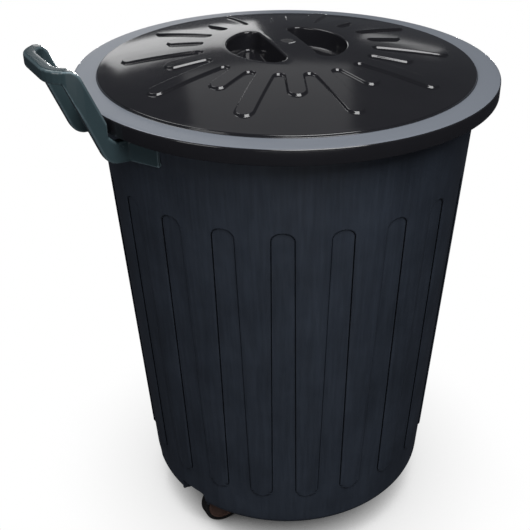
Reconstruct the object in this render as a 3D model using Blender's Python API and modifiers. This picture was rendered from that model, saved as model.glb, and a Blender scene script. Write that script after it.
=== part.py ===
"""Round wheeled trash can: a fluted bin, a loose domed lid, a moulded tow handle and two small wheels.

Metres, +Z up. The origin is the middle of the footprint on the ground, the handle is at -X.
"""
import math

import bmesh
import bpy
from mathutils import Matrix, Vector

# Fits and overruns
FIT_GAP = 0.0003
CUT_OVERRUN = 0.004
MERGE_LIMIT = 0.00002
ROUND_ARC_STEPS = 5

# Lid, whose radius and height set where all else goes
LID_RADIUS = 0.245
LID_RIM_HEIGHT = 0.5975
LID_SKIRT_DEPTH = 0.0175
LID_SHEET = 0.0025
LID_PLAY = 0.0013
LID_EDGE_ROUND = 0.0023
LID_EDGE_STEPS = 3
LID_STEPS = 72
LID_INNER_RADIUS = LID_RADIUS - LID_SHEET
SKIRT_BOTTOM = LID_RIM_HEIGHT - LID_SKIRT_DEPTH

# Dome inside the lid's flat border
BORDER_WIDTH = 0.0285
DOME_RADIUS = LID_RADIUS - BORDER_WIDTH
DOME_STEP = 0.003
DOME_STEP_WIDTH = 0.0025
DOME_RISE = 0.023
DOME_ROWS = 4

# Rayed crown raised on the dome, whose reaches are shares of the dome's radius
RAY_PAIRS = 10
RAY_PITCH = math.pi / RAY_PAIRS
RAY_HALF_WIDTH = 0.010
CROWN_RISE = 0.0025
CROWN_REACH_SHARE = 0.4527
LONG_RAY_SHARE = 0.8776
SHORT_RAY_SHARE = 0.6744
CROWN_RADIUS = DOME_RADIUS * CROWN_REACH_SHARE
LONG_RAY_REACH = DOME_RADIUS * LONG_RAY_SHARE
SHORT_RAY_REACH = DOME_RADIUS * SHORT_RAY_SHARE
CROWN_TURN = math.radians(-134.5)
RAY_END_STEPS = 4
NOTCH_STEPS = 3
CREST_HEIGHT = LID_RIM_HEIGHT + DOME_STEP + DOME_RISE + CROWN_RISE

# Finger wells either side of the grip bar
GRIP_BAR_HALF_WIDTH = 0.0185
FINGER_WELL_RADIUS = 0.069
FINGER_WELL_CORNER = 0.013
FINGER_WELL_DEPTH = 0.025
FINGER_WELL_DRAFT = 0.004
FINGER_WELL_STEPS = 10
GRIP_TURN = math.radians(-11)
DIMPLE_RADIUS = 0.012
DIMPLE_DEPTH = 0.002
DIMPLE_ROWS = 3
DIMPLE_STEPS = 16

# Rolled rim of the bin, under the lid
RIM_RADIUS = LID_INNER_RADIUS - LID_PLAY
RIM_HEIGHT = LID_RIM_HEIGHT - LID_SHEET - FIT_GAP
RIM_LIP_DEPTH = 0.0105
RIM_FLANGE_WIDTH = 0.0204

# Bin wall, a straight taper turned about the bin axis
WALL_TAPER = 0.0313
WALL_TOP_RADIUS = RIM_RADIUS - RIM_FLANGE_WIDTH
WALL_TOP_HEIGHT = SKIRT_BOTTOM
WALL_BASE_RADIUS = WALL_TOP_RADIUS - WALL_TAPER
BASE_HEIGHT = 0.0447
BASE_FILLET = 0.012
FILLET_STEPS = 3
WALL_THICKNESS = 0.0028
BIN_STEPS = 84

# Flutes pressed into the wall
FLUTE_COUNT = 21
FLUTE_PITCH = math.tau / FLUTE_COUNT
FLUTE_TURN = math.radians(-122.1)
FLUTE_DEPTH = 0.0018
FLUTE_DROP = 0.0885
FLUTE_TOP_HEIGHT = WALL_TOP_HEIGHT - FLUTE_DROP
FLUTE_TOP_HALF_WIDTH = 0.0127
FLUTE_BASE_HALF_WIDTH = 0.0155
FLUTE_ARCH_RISE = 0.010
FLUTE_ARCH_STEPS = 6
FLUTE_CUT_SHARE = 0.90
BAND_WIDTH = 0.0538
PANEL_END_HEIGHT = BASE_HEIGHT + BAND_WIDTH
PANEL_END_RISE = 0.0125

# Wheels
WHEEL_RADIUS = 0.030
WHEEL_WIDTH = 0.0155
WHEEL_OUTER_Y = 0.0718
WHEEL_INNER_Y = WHEEL_OUTER_Y - WHEEL_WIDTH
TYRE_DEPTH = 0.005
TYRE_EDGE = 0.0016
TYRE_EDGE_STEPS = 2
TYRE_RIB_DEPTH = 0.0012
TYRE_RIB_WIDTH = 0.005
HUB_RADIUS = WHEEL_RADIUS - TYRE_DEPTH
HUB_WEB = 0.0028
HUB_RIM = 0.0026
HUB_BOSS_RADIUS = 0.0095
HUB_SPOKES = 6
HUB_SPOKE_WIDTH = 0.0024
WHEEL_STEPS = 24
BORE_SIDES = 24

# Axle under the back of the bin, with a push-on cap at each end
AXLE_INSET = 0.0495
AXLE_SETBACK = WALL_BASE_RADIUS - AXLE_INSET
AXLE_RADIUS = 0.004
AXLE_CHAMFER = 0.0008
BORE_RADIUS = AXLE_RADIUS + FIT_GAP
CAP_RADIUS = 0.0075
CAP_LENGTH = 0.0055
CAP_DOME = 0.0012
CAP_DOME_STEPS = 3
CAP_END_WALL = 0.0015
CAP_OUTER_Y = WHEEL_OUTER_Y
CAP_INNER_Y = CAP_OUTER_Y - CAP_LENGTH
AXLE_HALF_LENGTH = CAP_OUTER_Y - CAP_END_WALL - FIT_GAP

# Lugs that hold the axle, and the wheel wells round them
LUG_THICKNESS = 0.0095
LUG_HALF_WIDTH = 0.011
LUG_CLEARANCE = 0.0068
LUG_INNER_Y = WHEEL_INNER_Y - LUG_CLEARANCE - LUG_THICKNESS
WELL_INNER_CLEARANCE = 0.006
WELL_OUTER_CLEARANCE = 0.0037
WELL_FRONT_CLEARANCE = 0.005
WELL_ROOF_CLEARANCE = 0.0055
WELL_CORNER = 0.006
WELL_INNER_Y = LUG_INNER_Y - WELL_INNER_CLEARANCE
WELL_OUTER_Y = WHEEL_OUTER_Y + WELL_OUTER_CLEARANCE
WELL_FRONT_REACH = AXLE_SETBACK - WHEEL_RADIUS - WELL_FRONT_CLEARANCE
WELL_HEIGHT = WHEEL_RADIUS * 2 + WELL_ROOF_CLEARANCE

# Front foot moulded under the base
FOOT_INSET = 0.0725
FOOT_ARC_RADIUS = WALL_BASE_RADIUS - FOOT_INSET
FOOT_HALF_WIDTH = 0.019
FOOT_HALF_ANGLE = math.radians(42)
FOOT_DRAFT = 0.002
FOOT_ARC_STEPS = 10
FOOT_END_STEPS = 6

# Tow handle, seen from the side
ARM_DROP = 0.0085
ARM_FOOT_HEIGHT = 0.0235
ARM_TOP_HEIGHT = SKIRT_BOTTOM - ARM_DROP
ARM_BOTTOM_HEIGHT = ARM_TOP_HEIGHT - ARM_FOOT_HEIGHT
ARM_FOOT_STANDOFF = 0.001
ARM_FOOT_REACH = LID_RADIUS + ARM_FOOT_STANDOFF
ARM_FOOT_ROUND = 0.018
ARM_NECK_INSET = 0.0105
ARM_NECK_REACH = LID_RADIUS - ARM_NECK_INSET
ARM_SKIRT_CLEARANCE = 0.0018
ARM_SHOULDER_DROP = 0.0035
ARM_UPPER_HEIGHT = LID_RIM_HEIGHT - ARM_SHOULDER_DROP
GRIP_STANDOFF = 0.0505
GRIP_REACH = LID_RADIUS + GRIP_STANDOFF
GRIP_ELBOW_SETBACK = 0.0143
GRIP_ELBOW_REACH = GRIP_REACH - GRIP_ELBOW_SETBACK
GRIP_BACK_SETBACK = 0.0283
GRIP_BACK_REACH = GRIP_REACH - GRIP_BACK_SETBACK
GRIP_BACK_ROUND = 0.014
GRIP_RAISE = 0.041
GRIP_BOTTOM_HEIGHT = LID_RIM_HEIGHT + GRIP_RAISE
GRIP_HEIGHT = 0.0142
GRIP_TOP_HEIGHT = GRIP_BOTTOM_HEIGHT + GRIP_HEIGHT

# Tow handle, seen from above
ARM_OUTER_Y = 0.056
ARM_THICKNESS = 0.0135
GRIP_OUTER_ROUND = 0.034
GRIP_CORNER_SWEEP = math.radians(62)
HANDLE_EDGE_ROUND = 0.0022
CHEEK_STANDOFF = 0.0017
CHEEK_REACH = WALL_TOP_RADIUS + CHEEK_STANDOFF
CHEEK_LENGTH = 0.0305
CHEEK_END_Y = ARM_OUTER_Y + CHEEK_LENGTH
CHEEK_END_THICKNESS = 0.0022
CHEEK_EDGE_ROUND = 0.0012

# Screws that hold the handle to the wall, one behind each arm and one behind each cheek
SCREW_RADIUS = 0.002
SCREW_HEAD_RADIUS = 0.004
SCREW_HEAD_HEIGHT = 0.0018
SCREW_BITE = 0.0055
SCREW_SIDES = 12
ARM_SCREW_INSET = 0.0096
CHEEK_SCREW_OUTSET = 0.006
SCREW_PLACES_Y = (ARM_OUTER_Y - ARM_SCREW_INSET, ARM_OUTER_Y + CHEEK_SCREW_OUTSET)
SCREW_HEIGHT = (ARM_BOTTOM_HEIGHT + ARM_TOP_HEIGHT) / 2

# Place of the bin's axis, with the origin in the middle of the footprint
BIN_AXIS_X = (GRIP_REACH - LID_RADIUS) / 2
SIDES = ((1, "left"), (-1, "right"))

parts = bpy.data.collections.new("wheeled_trash_can")
cutters = bpy.data.collections.new("cutters")


def clear_scene():
    for obj in list(bpy.data.objects):
        bpy.data.objects.remove(obj, do_unlink=True)
    for collection in (parts, cutters):
        bpy.context.scene.collection.children.link(collection)


def material(name, colour, roughness, metallic=0.0):
    mat = bpy.data.materials.new(name)
    mat.use_nodes = True
    shader = mat.node_tree.nodes["Principled BSDF"]
    shader.inputs["Base Color"].default_value = (*colour, 1.0)
    shader.inputs["Roughness"].default_value = roughness
    shader.inputs["Metallic"].default_value = metallic
    mat.diffuse_color = (*colour, 1.0)
    return mat


def wrap(name, mesh):
    """An object in the cutters' collection, until finish() makes it a part."""
    obj = bpy.data.objects.new(name, mesh)
    cutters.objects.link(obj)
    obj.hide_render = True
    obj.display_type = "WIRE"
    return obj


def settle(obj):
    """The evaluated mesh takes the place of the modifiers."""
    graph = bpy.context.evaluated_depsgraph_get()
    mesh = bpy.data.meshes.new_from_object(obj.evaluated_get(graph))
    obj.modifiers.clear()
    obj.data = mesh
    return obj


def weld(obj):
    """Join points that lie together, so that the skin is closed."""
    shape = bmesh.new()
    shape.from_mesh(obj.data)
    bmesh.ops.remove_doubles(shape, verts=shape.verts, dist=MERGE_LIMIT)
    bmesh.ops.dissolve_degenerate(shape, edges=shape.edges, dist=MERGE_LIMIT)
    shape.to_mesh(obj.data)
    shape.free()
    return obj


def combine(obj, others, operation):
    """Boolean with each of the other objects, which are used up."""
    for other in others:
        step = obj.modifiers.new("shape", "BOOLEAN")
        step.operation = operation
        step.object = other
        weld(settle(obj))
        bpy.data.objects.remove(other, do_unlink=True)
    return obj


def cut(obj, *others):
    return combine(obj, others, "DIFFERENCE")


def add(obj, *others):
    return combine(obj, others, "UNION")


def keep_common(obj, *others):
    return combine(obj, others, "INTERSECT")


def turned(name, profile, steps, closed=False):
    """A profile of (radius, height) points turned about Z, listed from the top down its outer side."""
    mesh = bpy.data.meshes.new(name)
    count = len(profile)
    edges = [(i, i + 1) for i in range(count - 1)]
    if closed:
        edges.append((count - 1, 0))
    mesh.from_pydata([(radius, 0, height) for radius, height in profile], edges, [])
    obj = wrap(name, mesh)
    screw = obj.modifiers.new("turn", "SCREW")
    screw.steps = steps
    screw.render_steps = steps
    screw.use_merge_vertices = True
    screw.merge_threshold = MERGE_LIMIT
    return settle(obj)


def plate(name, outline, low, high, frame=Matrix.Identity(4), edge_round=0):
    """A flat outline filled and thickened from low to high along the frame's third axis."""
    curve = bpy.data.curves.new(name, "CURVE")
    curve.dimensions = "2D"
    curve.fill_mode = "BOTH"
    curve.extrude = (high - low) / 2 - edge_round
    curve.bevel_depth = edge_round
    curve.bevel_resolution = 1
    curve.offset = -edge_round
    spline = curve.splines.new("POLY")
    spline.points.add(len(outline) - 1)
    for point, (across, along) in zip(spline.points, outline):
        point.co = (across, along, 0, 1)
    spline.use_cyclic_u = True
    guide = wrap(name, curve)
    graph = bpy.context.evaluated_depsgraph_get()
    mesh = bpy.data.meshes.new_from_object(guide.evaluated_get(graph))
    bpy.data.objects.remove(guide, do_unlink=True)
    shape = bmesh.new()
    shape.from_mesh(mesh)
    bmesh.ops.remove_doubles(shape, verts=shape.verts, dist=MERGE_LIMIT)
    bmesh.ops.dissolve_limit(shape, angle_limit=math.radians(1), verts=shape.verts, edges=shape.edges)
    shape.transform(frame @ Matrix.Translation((0, 0, (low + high) / 2)))
    bmesh.ops.recalc_face_normals(shape, faces=shape.faces)
    if shape.calc_volume(signed=True) < 0:
        bmesh.ops.reverse_faces(shape, faces=shape.faces)
    shape.to_mesh(mesh)
    shape.free()
    return wrap(name, mesh)


def block(name, low, high):
    """A box between two corners."""
    shape = bmesh.new()
    size = Vector(high) - Vector(low)
    middle = (Vector(high) + Vector(low)) / 2
    bmesh.ops.create_cube(shape, size=1, matrix=Matrix.Translation(middle) @ Matrix.Diagonal((*size, 1)))
    mesh = bpy.data.meshes.new(name)
    shape.to_mesh(mesh)
    shape.free()
    return wrap(name, mesh)


def rod(name, radius, start, end, sides):
    """A round bar between two points."""
    run = Vector(end) - Vector(start)
    turn = run.to_track_quat("Z", "Y").to_matrix().to_4x4()
    shape = bmesh.new()
    bmesh.ops.create_cone(
        shape, cap_ends=True, segments=sides, radius1=radius, radius2=radius, depth=run.length,
        matrix=Matrix.Translation((Vector(start) + Vector(end)) / 2) @ turn)
    mesh = bpy.data.meshes.new(name)
    shape.to_mesh(mesh)
    shape.free()
    return wrap(name, mesh)


def arc(centre, radius, start, end, steps):
    """Points along an arc, both ends included."""
    points = []
    for i in range(steps + 1):
        angle = start + (end - start) * i / steps
        points.append((centre[0] + radius * math.cos(angle), centre[1] + radius * math.sin(angle)))
    return points


def rounded(corners, steps=ROUND_ARC_STEPS):
    """A closed outline whose corners (across, along, round) are rounded."""
    points = []
    for i, (across, along, size) in enumerate(corners):
        here = Vector((across, along))
        back = Vector(corners[i - 1][:2]) - here
        ahead = Vector(corners[(i + 1) % len(corners)][:2]) - here
        if size == 0:
            points.append((across, along))
            continue
        back.normalize()
        ahead.normalize()
        half = back.angle(ahead) / 2
        middle = here + (back + ahead).normalized() * size / math.sin(half)
        first = here + back * size / math.tan(half) - middle
        last = here + ahead * size / math.tan(half) - middle
        swing = first.angle_signed(last)
        for k in range(steps + 1):
            spoke = first.copy()
            spoke.rotate(Matrix.Rotation(-swing * k / steps, 2))
            points.append((middle.x + spoke.x, middle.y + spoke.y))
    return points


def finish(obj, parent, mat, turn_axis=None, smooth_angle=math.radians(28)):
    """Make a shape a part: its collection, material, shading, and its origin on its own axis."""
    cutters.objects.unlink(obj)
    parts.objects.link(obj)
    obj.hide_render = False
    obj.display_type = "TEXTURED"
    obj.data.name = obj.name
    obj.data.materials.clear()
    obj.data.materials.append(mat)
    obj.data.shade_smooth()
    obj.data.set_sharp_from_angle(angle=smooth_angle)
    if turn_axis is not None:
        obj.data.transform(Matrix.Translation(-Vector(turn_axis)))
        obj.location = turn_axis
    obj.parent = parent
    return obj


def wall_radius(height):
    """Outer radius of the raised wall at a height."""
    slope = (WALL_TOP_RADIUS - WALL_BASE_RADIUS) / (WALL_TOP_HEIGHT - BASE_HEIGHT)
    return WALL_BASE_RADIUS + slope * (height - BASE_HEIGHT)


def plug_side(inset, base):
    """Filleted foot of a solid plug that lies an inset inside the raised wall."""
    fillet = BASE_FILLET - (base - BASE_HEIGHT)
    fillet_radius = wall_radius(base) - inset - fillet
    side = [(fillet_radius + across, base + fillet + along)
            for across, along in arc((0, 0), fillet, 0, -math.pi / 2, FILLET_STEPS)]
    return side + [(0, base)]


def gathered(name, shapes):
    """Shapes that don't touch each other, held in one mesh."""
    whole = bmesh.new()
    for shape in shapes:
        whole.from_mesh(shape.data)
        bpy.data.objects.remove(shape, do_unlink=True)
    mesh = bpy.data.meshes.new(name)
    whole.to_mesh(mesh)
    whole.free()
    return wrap(name, mesh)


def radial_plate(name, outline, heading):
    """A plate through the wall, square to a heading, from an outline of (across, height) points."""
    facing = Matrix(((0, 0, 1, 0), (1, 0, 0, 0), (0, 1, 0, 0), (0, 0, 0, 1)))
    frame = Matrix.Rotation(heading, 4, "Z") @ facing
    return plate(name, outline, WALL_BASE_RADIUS * FLUTE_CUT_SHARE, WALL_TOP_RADIUS + CUT_OVERRUN, frame)


def flute_outline(inset):
    """A flute: straight sides that draw in upwards, under a low arch."""
    top = FLUTE_TOP_HALF_WIDTH - inset
    base = FLUTE_BASE_HALF_WIDTH - inset
    springing = FLUTE_TOP_HEIGHT - inset - FLUTE_ARCH_RISE
    arch = [(top * math.cos(angle), springing + FLUTE_ARCH_RISE * math.sin(angle))
            for angle in (math.pi * i / FLUTE_ARCH_STEPS for i in range(FLUTE_ARCH_STEPS + 1))]
    low = PANEL_END_HEIGHT - FLUTE_ARCH_RISE
    return [(-base, low), (base, low)] + arch


def panel_end_outline(inset):
    """The round lower end of the raised panel between two flutes."""
    half = wall_radius(PANEL_END_HEIGHT) * math.tan(FLUTE_PITCH / 2) - FLUTE_BASE_HALF_WIDTH + inset
    half += FIT_GAP
    middle = PANEL_END_HEIGHT - inset + PANEL_END_RISE
    end = [(half * math.cos(angle), middle + PANEL_END_RISE * math.sin(angle))
           for angle in (math.pi * (1 + i / FLUTE_ARCH_STEPS) for i in range(FLUTE_ARCH_STEPS + 1))]
    high = middle + PANEL_END_RISE
    return end + [(half, high), (-half, high)]


def fluted(name, profile, inset):
    """A turned plug with the flutes and the band below them sunk into its side."""
    plug = turned(name, profile, BIN_STEPS)
    band_top = PANEL_END_HEIGHT - inset + PANEL_END_RISE
    band_low = BASE_HEIGHT - CUT_OVERRUN
    inner = wall_radius(band_low) * FLUTE_CUT_SHARE
    outer = wall_radius(band_top) + CUT_OVERRUN
    band = turned("band", [(outer, band_top), (outer, band_low), (inner, band_low), (inner, band_top)],
                  BIN_STEPS, closed=True)
    ends = []
    flutes = []
    for i in range(FLUTE_COUNT):
        heading = FLUTE_TURN + i * FLUTE_PITCH
        flutes.append(radial_plate("flute", flute_outline(inset), heading))
        ends.append(radial_plate("panel_end", panel_end_outline(inset), heading + FLUTE_PITCH / 2))
    cut(band, gathered("panel_ends", ends))
    add(band, gathered("flutes", flutes))
    depth = inset + FLUTE_DEPTH
    top = WALL_TOP_HEIGHT
    core_side = plug_side(depth, BASE_HEIGHT - FIT_GAP)
    core = turned("core", [(0, top), (wall_radius(top) - depth, top)] + core_side, BIN_STEPS)
    cut(band, core)
    return cut(plug, band)


def well_block(name, side, grow):
    """A wheel well, or its mould wall when it is grown by the wall thickness."""
    corner = WELL_CORNER + grow
    inner = WELL_INNER_Y - grow
    outer = WELL_OUTER_Y + grow
    top = WELL_HEIGHT + grow
    floor = -CUT_OVERRUN
    outline = rounded([(inner, floor, 0), (outer, floor, 0), (outer, top, corner), (inner, top, corner)])
    facing = Matrix(((0, 0, -1, 0), (side, 0, 0, 0), (0, 1, 0, 0), (0, 0, 0, 1)))
    return plate(name, outline, WELL_FRONT_REACH - grow, WALL_TOP_RADIUS, facing)


def foot_outline(half_width):
    """A slot bent round the bin axis, centred on +X."""
    swing = FOOT_HALF_ANGLE
    outer = arc((0, 0), FOOT_ARC_RADIUS + half_width, -swing, swing, FOOT_ARC_STEPS)
    end = (FOOT_ARC_RADIUS * math.cos(swing), FOOT_ARC_RADIUS * math.sin(swing))
    far_end = arc(end, half_width, swing, swing + math.pi, FOOT_END_STEPS)
    inner = arc((0, 0), FOOT_ARC_RADIUS - half_width, swing, -swing, FOOT_ARC_STEPS)
    near_end = arc((end[0], -end[1]), half_width, math.pi - swing, math.tau - swing, FOOT_END_STEPS)
    return outer + far_end[1:-1] + inner + near_end[1:-1]


def foot_block(name, grow, low, high):
    """The front foot, drawn in towards its sole."""
    foot = plate(name, foot_outline(FOOT_HALF_WIDTH + grow), low, high)
    slot = FOOT_ARC_RADIUS
    for vert in foot.data.vertices:
        if vert.co.z < (low + high) / 2:
            reach = math.hypot(vert.co.x, vert.co.y)
            pull = FOOT_DRAFT * max(-1, min(1, (reach - slot) / FOOT_HALF_WIDTH))
            vert.co.x -= vert.co.x / reach * pull
            vert.co.y -= vert.co.y / reach * pull
    return foot


def lug(side):
    """A plate that hangs from the well's roof and holds the axle in its round end."""
    steps = ROUND_ARC_STEPS * 2
    outline = arc((-AXLE_SETBACK, WHEEL_RADIUS), LUG_HALF_WIDTH, math.pi, math.tau, steps)
    roof = WELL_HEIGHT + WALL_THICKNESS / 2
    outline += [(-AXLE_SETBACK + LUG_HALF_WIDTH, roof), (-AXLE_SETBACK - LUG_HALF_WIDTH, roof)]
    facing = Matrix(((1, 0, 0, 0), (0, 0, side, 0), (0, 1, 0, 0), (0, 0, 0, 1)))
    return plate("lug", outline, LUG_INNER_Y, LUG_INNER_Y + LUG_THICKNESS, facing)


def along_axle(name, radius, low, high, sides=WHEEL_STEPS):
    """A round bar on the wheels' axis."""
    return rod(name, radius, (-AXLE_SETBACK, low, WHEEL_RADIUS), (-AXLE_SETBACK, high, WHEEL_RADIUS), sides)


def screw_places():
    """Direction of each handle screw, seen from the bin axis."""
    places = []
    for side in (1, -1):
        for across in SCREW_PLACES_Y:
            angle = math.asin(across / wall_radius(SCREW_HEIGHT))
            places.append(Vector((-math.cos(angle), side * math.sin(angle), 0)))
    return places


def screw_rod(name, radius, heading, low, high):
    """A round bar on one screw's axis, between two distances from the bin axis."""
    height = Vector((0, 0, SCREW_HEIGHT))
    return rod(name, radius, heading * low + height, heading * high + height, SCREW_SIDES)


def bin_profile():
    """Outer side of the bin from its rim down: a flange with a turned-down lip, then the wall."""
    top = RIM_HEIGHT
    rim_round = WALL_THICKNESS / 2
    lip_bottom = top - RIM_LIP_DEPTH
    lip_inner = RIM_RADIUS - WALL_THICKNESS
    web = top - WALL_THICKNESS
    rim = [(0, top), (RIM_RADIUS - rim_round, top), (RIM_RADIUS, top - rim_round),
           (RIM_RADIUS, lip_bottom), (lip_inner, lip_bottom), (lip_inner, web), (wall_radius(web), web)]
    return rim + [(wall_radius(BASE_HEIGHT), BASE_HEIGHT), (0, BASE_HEIGHT)]


def make_bin(parent):
    body = fluted("bin_body", bin_profile(), 0)
    add(body, foot_block("foot", 0, 0, BASE_HEIGHT + WALL_THICKNESS / 2))
    top = RIM_HEIGHT + CUT_OVERRUN
    inside = [(0, top), (wall_radius(top) - WALL_THICKNESS, top),
              (wall_radius(FLUTE_TOP_HEIGHT) - WALL_THICKNESS, FLUTE_TOP_HEIGHT)]
    inside += plug_side(WALL_THICKNESS + FLUTE_DEPTH, BASE_HEIGHT + WALL_THICKNESS)
    cavity = turned("cavity", inside, BIN_STEPS)
    foot_roof = BASE_HEIGHT + WALL_THICKNESS + CUT_OVERRUN
    add(cavity, foot_block("foot_hollow", -WALL_THICKNESS, WALL_THICKNESS, foot_roof))
    for side, _ in SIDES:
        cut(cavity, well_block("well_wall", side, WALL_THICKNESS))
    cut(body, cavity)
    for side, _ in SIDES:
        cut(body, well_block("well", side, 0))
        add(body, lug(side))
    reach = AXLE_HALF_LENGTH
    cut(body, along_axle("axle_hole", BORE_RADIUS, -reach, reach, BORE_SIDES))
    for heading in screw_places():
        cut(body, screw_rod("screw_hole", SCREW_RADIUS + FIT_GAP, heading, WALL_BASE_RADIUS, RIM_RADIUS))
    return finish(body, parent, material("bin_polypropylene", (0.012, 0.014, 0.019), 0.42))


def dome_height(radius):
    """Height of the dome's top skin at a radius."""
    share = min(radius / DOME_RADIUS, 1)
    return LID_RIM_HEIGHT + DOME_STEP + DOME_RISE * (1 - share * share)


def dome_profile(lift, reach):
    """Points of the dome from its middle out to a reach, lifted by an amount."""
    points = []
    for i in range(DOME_ROWS + 1):
        radius = reach * i / DOME_ROWS
        points.append((radius, dome_height(radius) + lift))
    return points


def lid_blank():
    """The lid's outer form as a solid."""
    edge = arc((LID_RADIUS - LID_EDGE_ROUND, LID_RIM_HEIGHT - LID_EDGE_ROUND), LID_EDGE_ROUND,
               math.pi / 2, 0, LID_EDGE_STEPS)
    profile = dome_profile(0, DOME_RADIUS)
    profile += [(DOME_RADIUS + DOME_STEP_WIDTH, LID_RIM_HEIGHT)] + edge
    profile += [(LID_RADIUS, SKIRT_BOTTOM), (0, SKIRT_BOTTOM)]
    return turned("lid", profile, LID_STEPS)


def lid_hollow():
    """The space under the lid's skin."""
    roof = LID_RIM_HEIGHT - LID_SHEET
    profile = dome_profile(-LID_SHEET, DOME_RADIUS - LID_SHEET / 2)
    profile += [(DOME_RADIUS + LID_SHEET / 2, roof), (LID_INNER_RADIUS, roof)]
    low = SKIRT_BOTTOM - CUT_OVERRUN
    profile += [(LID_INNER_RADIUS, low), (0, low)]
    return turned("lid_hollow", profile, LID_STEPS)


def crown_outline():
    """A disc with long and short rays by turns, each a bar with a round end, and round notches between."""
    points = []
    notch_sine = math.sin(RAY_PITCH / 2)
    notch_reach = (CROWN_RADIUS - RAY_HALF_WIDTH) / (1 - notch_sine)
    notch_radius = notch_reach - CROWN_RADIUS
    root = notch_reach * math.cos(RAY_PITCH / 2)
    notch = (root, notch_reach * notch_sine)
    for i in range(RAY_PAIRS * 2):
        angle = CROWN_TURN + i * RAY_PITCH
        reach = SHORT_RAY_REACH if i % 2 else LONG_RAY_REACH
        ray = [(root, -RAY_HALF_WIDTH)]
        ray += arc((reach - RAY_HALF_WIDTH, 0), RAY_HALF_WIDTH, -math.pi / 2, math.pi / 2, RAY_END_STEPS)
        ray += arc(notch, notch_radius, -math.pi / 2, RAY_PITCH - math.pi * 3 / 2, NOTCH_STEPS)[:-1]
        for across, along in ray:
            points.append((across * math.cos(angle) - along * math.sin(angle),
                           across * math.sin(angle) + along * math.cos(angle)))
    return points


def crown():
    """The raised crown, a slice of a second dome cut to its outline."""
    reach = LONG_RAY_REACH + CUT_OVERRUN
    low = LID_RIM_HEIGHT - LID_SHEET / 2
    cap = turned("crown", dome_profile(CROWN_RISE, reach) + [(reach, low), (0, low)], LID_STEPS)
    high = CREST_HEIGHT + CUT_OVERRUN
    return keep_common(cap, plate("crown_mask", crown_outline(), low - CUT_OVERRUN, high))


def finger_well(name, side, grow):
    """A half-moon well beside the grip bar, drawn in towards its floor."""
    radius = FINGER_WELL_RADIUS + grow
    corner = FINGER_WELL_CORNER + grow
    flat = GRIP_BAR_HALF_WIDTH - grow
    middle_x = flat + corner
    middle_y = math.sqrt((radius - corner) ** 2 - middle_x ** 2)
    swing = math.atan2(middle_y, middle_x)
    outline = arc((0, 0), radius, -swing, swing, FINGER_WELL_STEPS)
    outline += arc((middle_x, middle_y), corner, swing, math.pi, ROUND_ARC_STEPS)[1:]
    outline += arc((middle_x, -middle_y), corner, math.pi, math.tau - swing, ROUND_ARC_STEPS)[:-1]
    low = CREST_HEIGHT - FINGER_WELL_DEPTH - grow
    high = CREST_HEIGHT + CUT_OVERRUN
    turn = Matrix.Rotation(GRIP_TURN + (math.pi if side < 0 else 0), 4, "Z")
    well = plate(name, outline, low, high)
    centre = (flat + radius) / 2
    draw_in = 1 - FINGER_WELL_DRAFT / (radius - flat) * 2
    for vert in well.data.vertices:
        if vert.co.z < CREST_HEIGHT - FINGER_WELL_DEPTH / 2:
            vert.co.x = centre + (vert.co.x - centre) * draw_in
            vert.co.y *= draw_in
    well.data.transform(turn)
    return well


def dimple():
    """The shallow bowl in the middle of the grip bar, as a solid."""
    bowl = (DIMPLE_RADIUS ** 2 + DIMPLE_DEPTH ** 2) / (2 * DIMPLE_DEPTH)
    half = math.asin(DIMPLE_RADIUS / bowl)
    middle = CREST_HEIGHT - DIMPLE_DEPTH + bowl
    brim = CREST_HEIGHT + CUT_OVERRUN
    sag = arc((0, middle), bowl, half - math.pi / 2, -math.pi / 2, DIMPLE_ROWS)
    return turned("dimple", [(0, brim), (DIMPLE_RADIUS, brim)] + sag, DIMPLE_STEPS)


def make_lid(parent):
    lid = add(lid_blank(), crown())
    hollow = lid_hollow()
    for side in (1, -1):
        cut(hollow, finger_well("well_skin", side, LID_SHEET))
    for side in (1, -1):
        cut(lid, finger_well("finger_well", side, 0))
    cut(lid, hollow)
    cut(lid, dimple())
    return finish(lid, parent, material("lid_polypropylene", (0.030, 0.031, 0.035), 0.22))


def arm_outline():
    """An arm from the side: foot, slope and the elbow under the grip, as (reach, height) corners."""
    top = GRIP_TOP_HEIGHT - FIT_GAP
    skirt_reach = math.sqrt((LID_RADIUS + ARM_SKIRT_CLEARANCE) ** 2 - (ARM_OUTER_Y - ARM_THICKNESS) ** 2)
    start = WALL_BASE_RADIUS
    elbow_bottom = GRIP_BOTTOM_HEIGHT + FIT_GAP
    return rounded([
        (start, ARM_BOTTOM_HEIGHT, 0),
        (ARM_FOOT_REACH, ARM_BOTTOM_HEIGHT, ARM_FOOT_ROUND),
        (GRIP_ELBOW_REACH, elbow_bottom, 0),
        (GRIP_ELBOW_REACH, top, 0),
        (GRIP_BACK_REACH, top, GRIP_BACK_ROUND),
        (skirt_reach, ARM_UPPER_HEIGHT, 0),
        (skirt_reach, SKIRT_BOTTOM, 0),
        (ARM_NECK_REACH, ARM_TOP_HEIGHT, 0),
        (start, ARM_TOP_HEIGHT, 0),
    ])


def grip_outline():
    """The grip from above: a bar that sweeps round a corner into each arm."""
    reach = GRIP_REACH - GRIP_OUTER_ROUND
    across = ARM_OUTER_Y - GRIP_OUTER_ROUND
    inner_round = GRIP_OUTER_ROUND - ARM_THICKNESS
    sweep = GRIP_CORNER_SWEEP
    steps = ROUND_ARC_STEPS
    front = arc((reach, -across), GRIP_OUTER_ROUND, -sweep, 0, steps)
    front += arc((reach, across), GRIP_OUTER_ROUND, 0, sweep, steps)
    back = arc((reach, across), inner_round, sweep, 0, steps)
    return front + back + arc((reach, -across), inner_round, 0, -sweep, steps)


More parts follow.
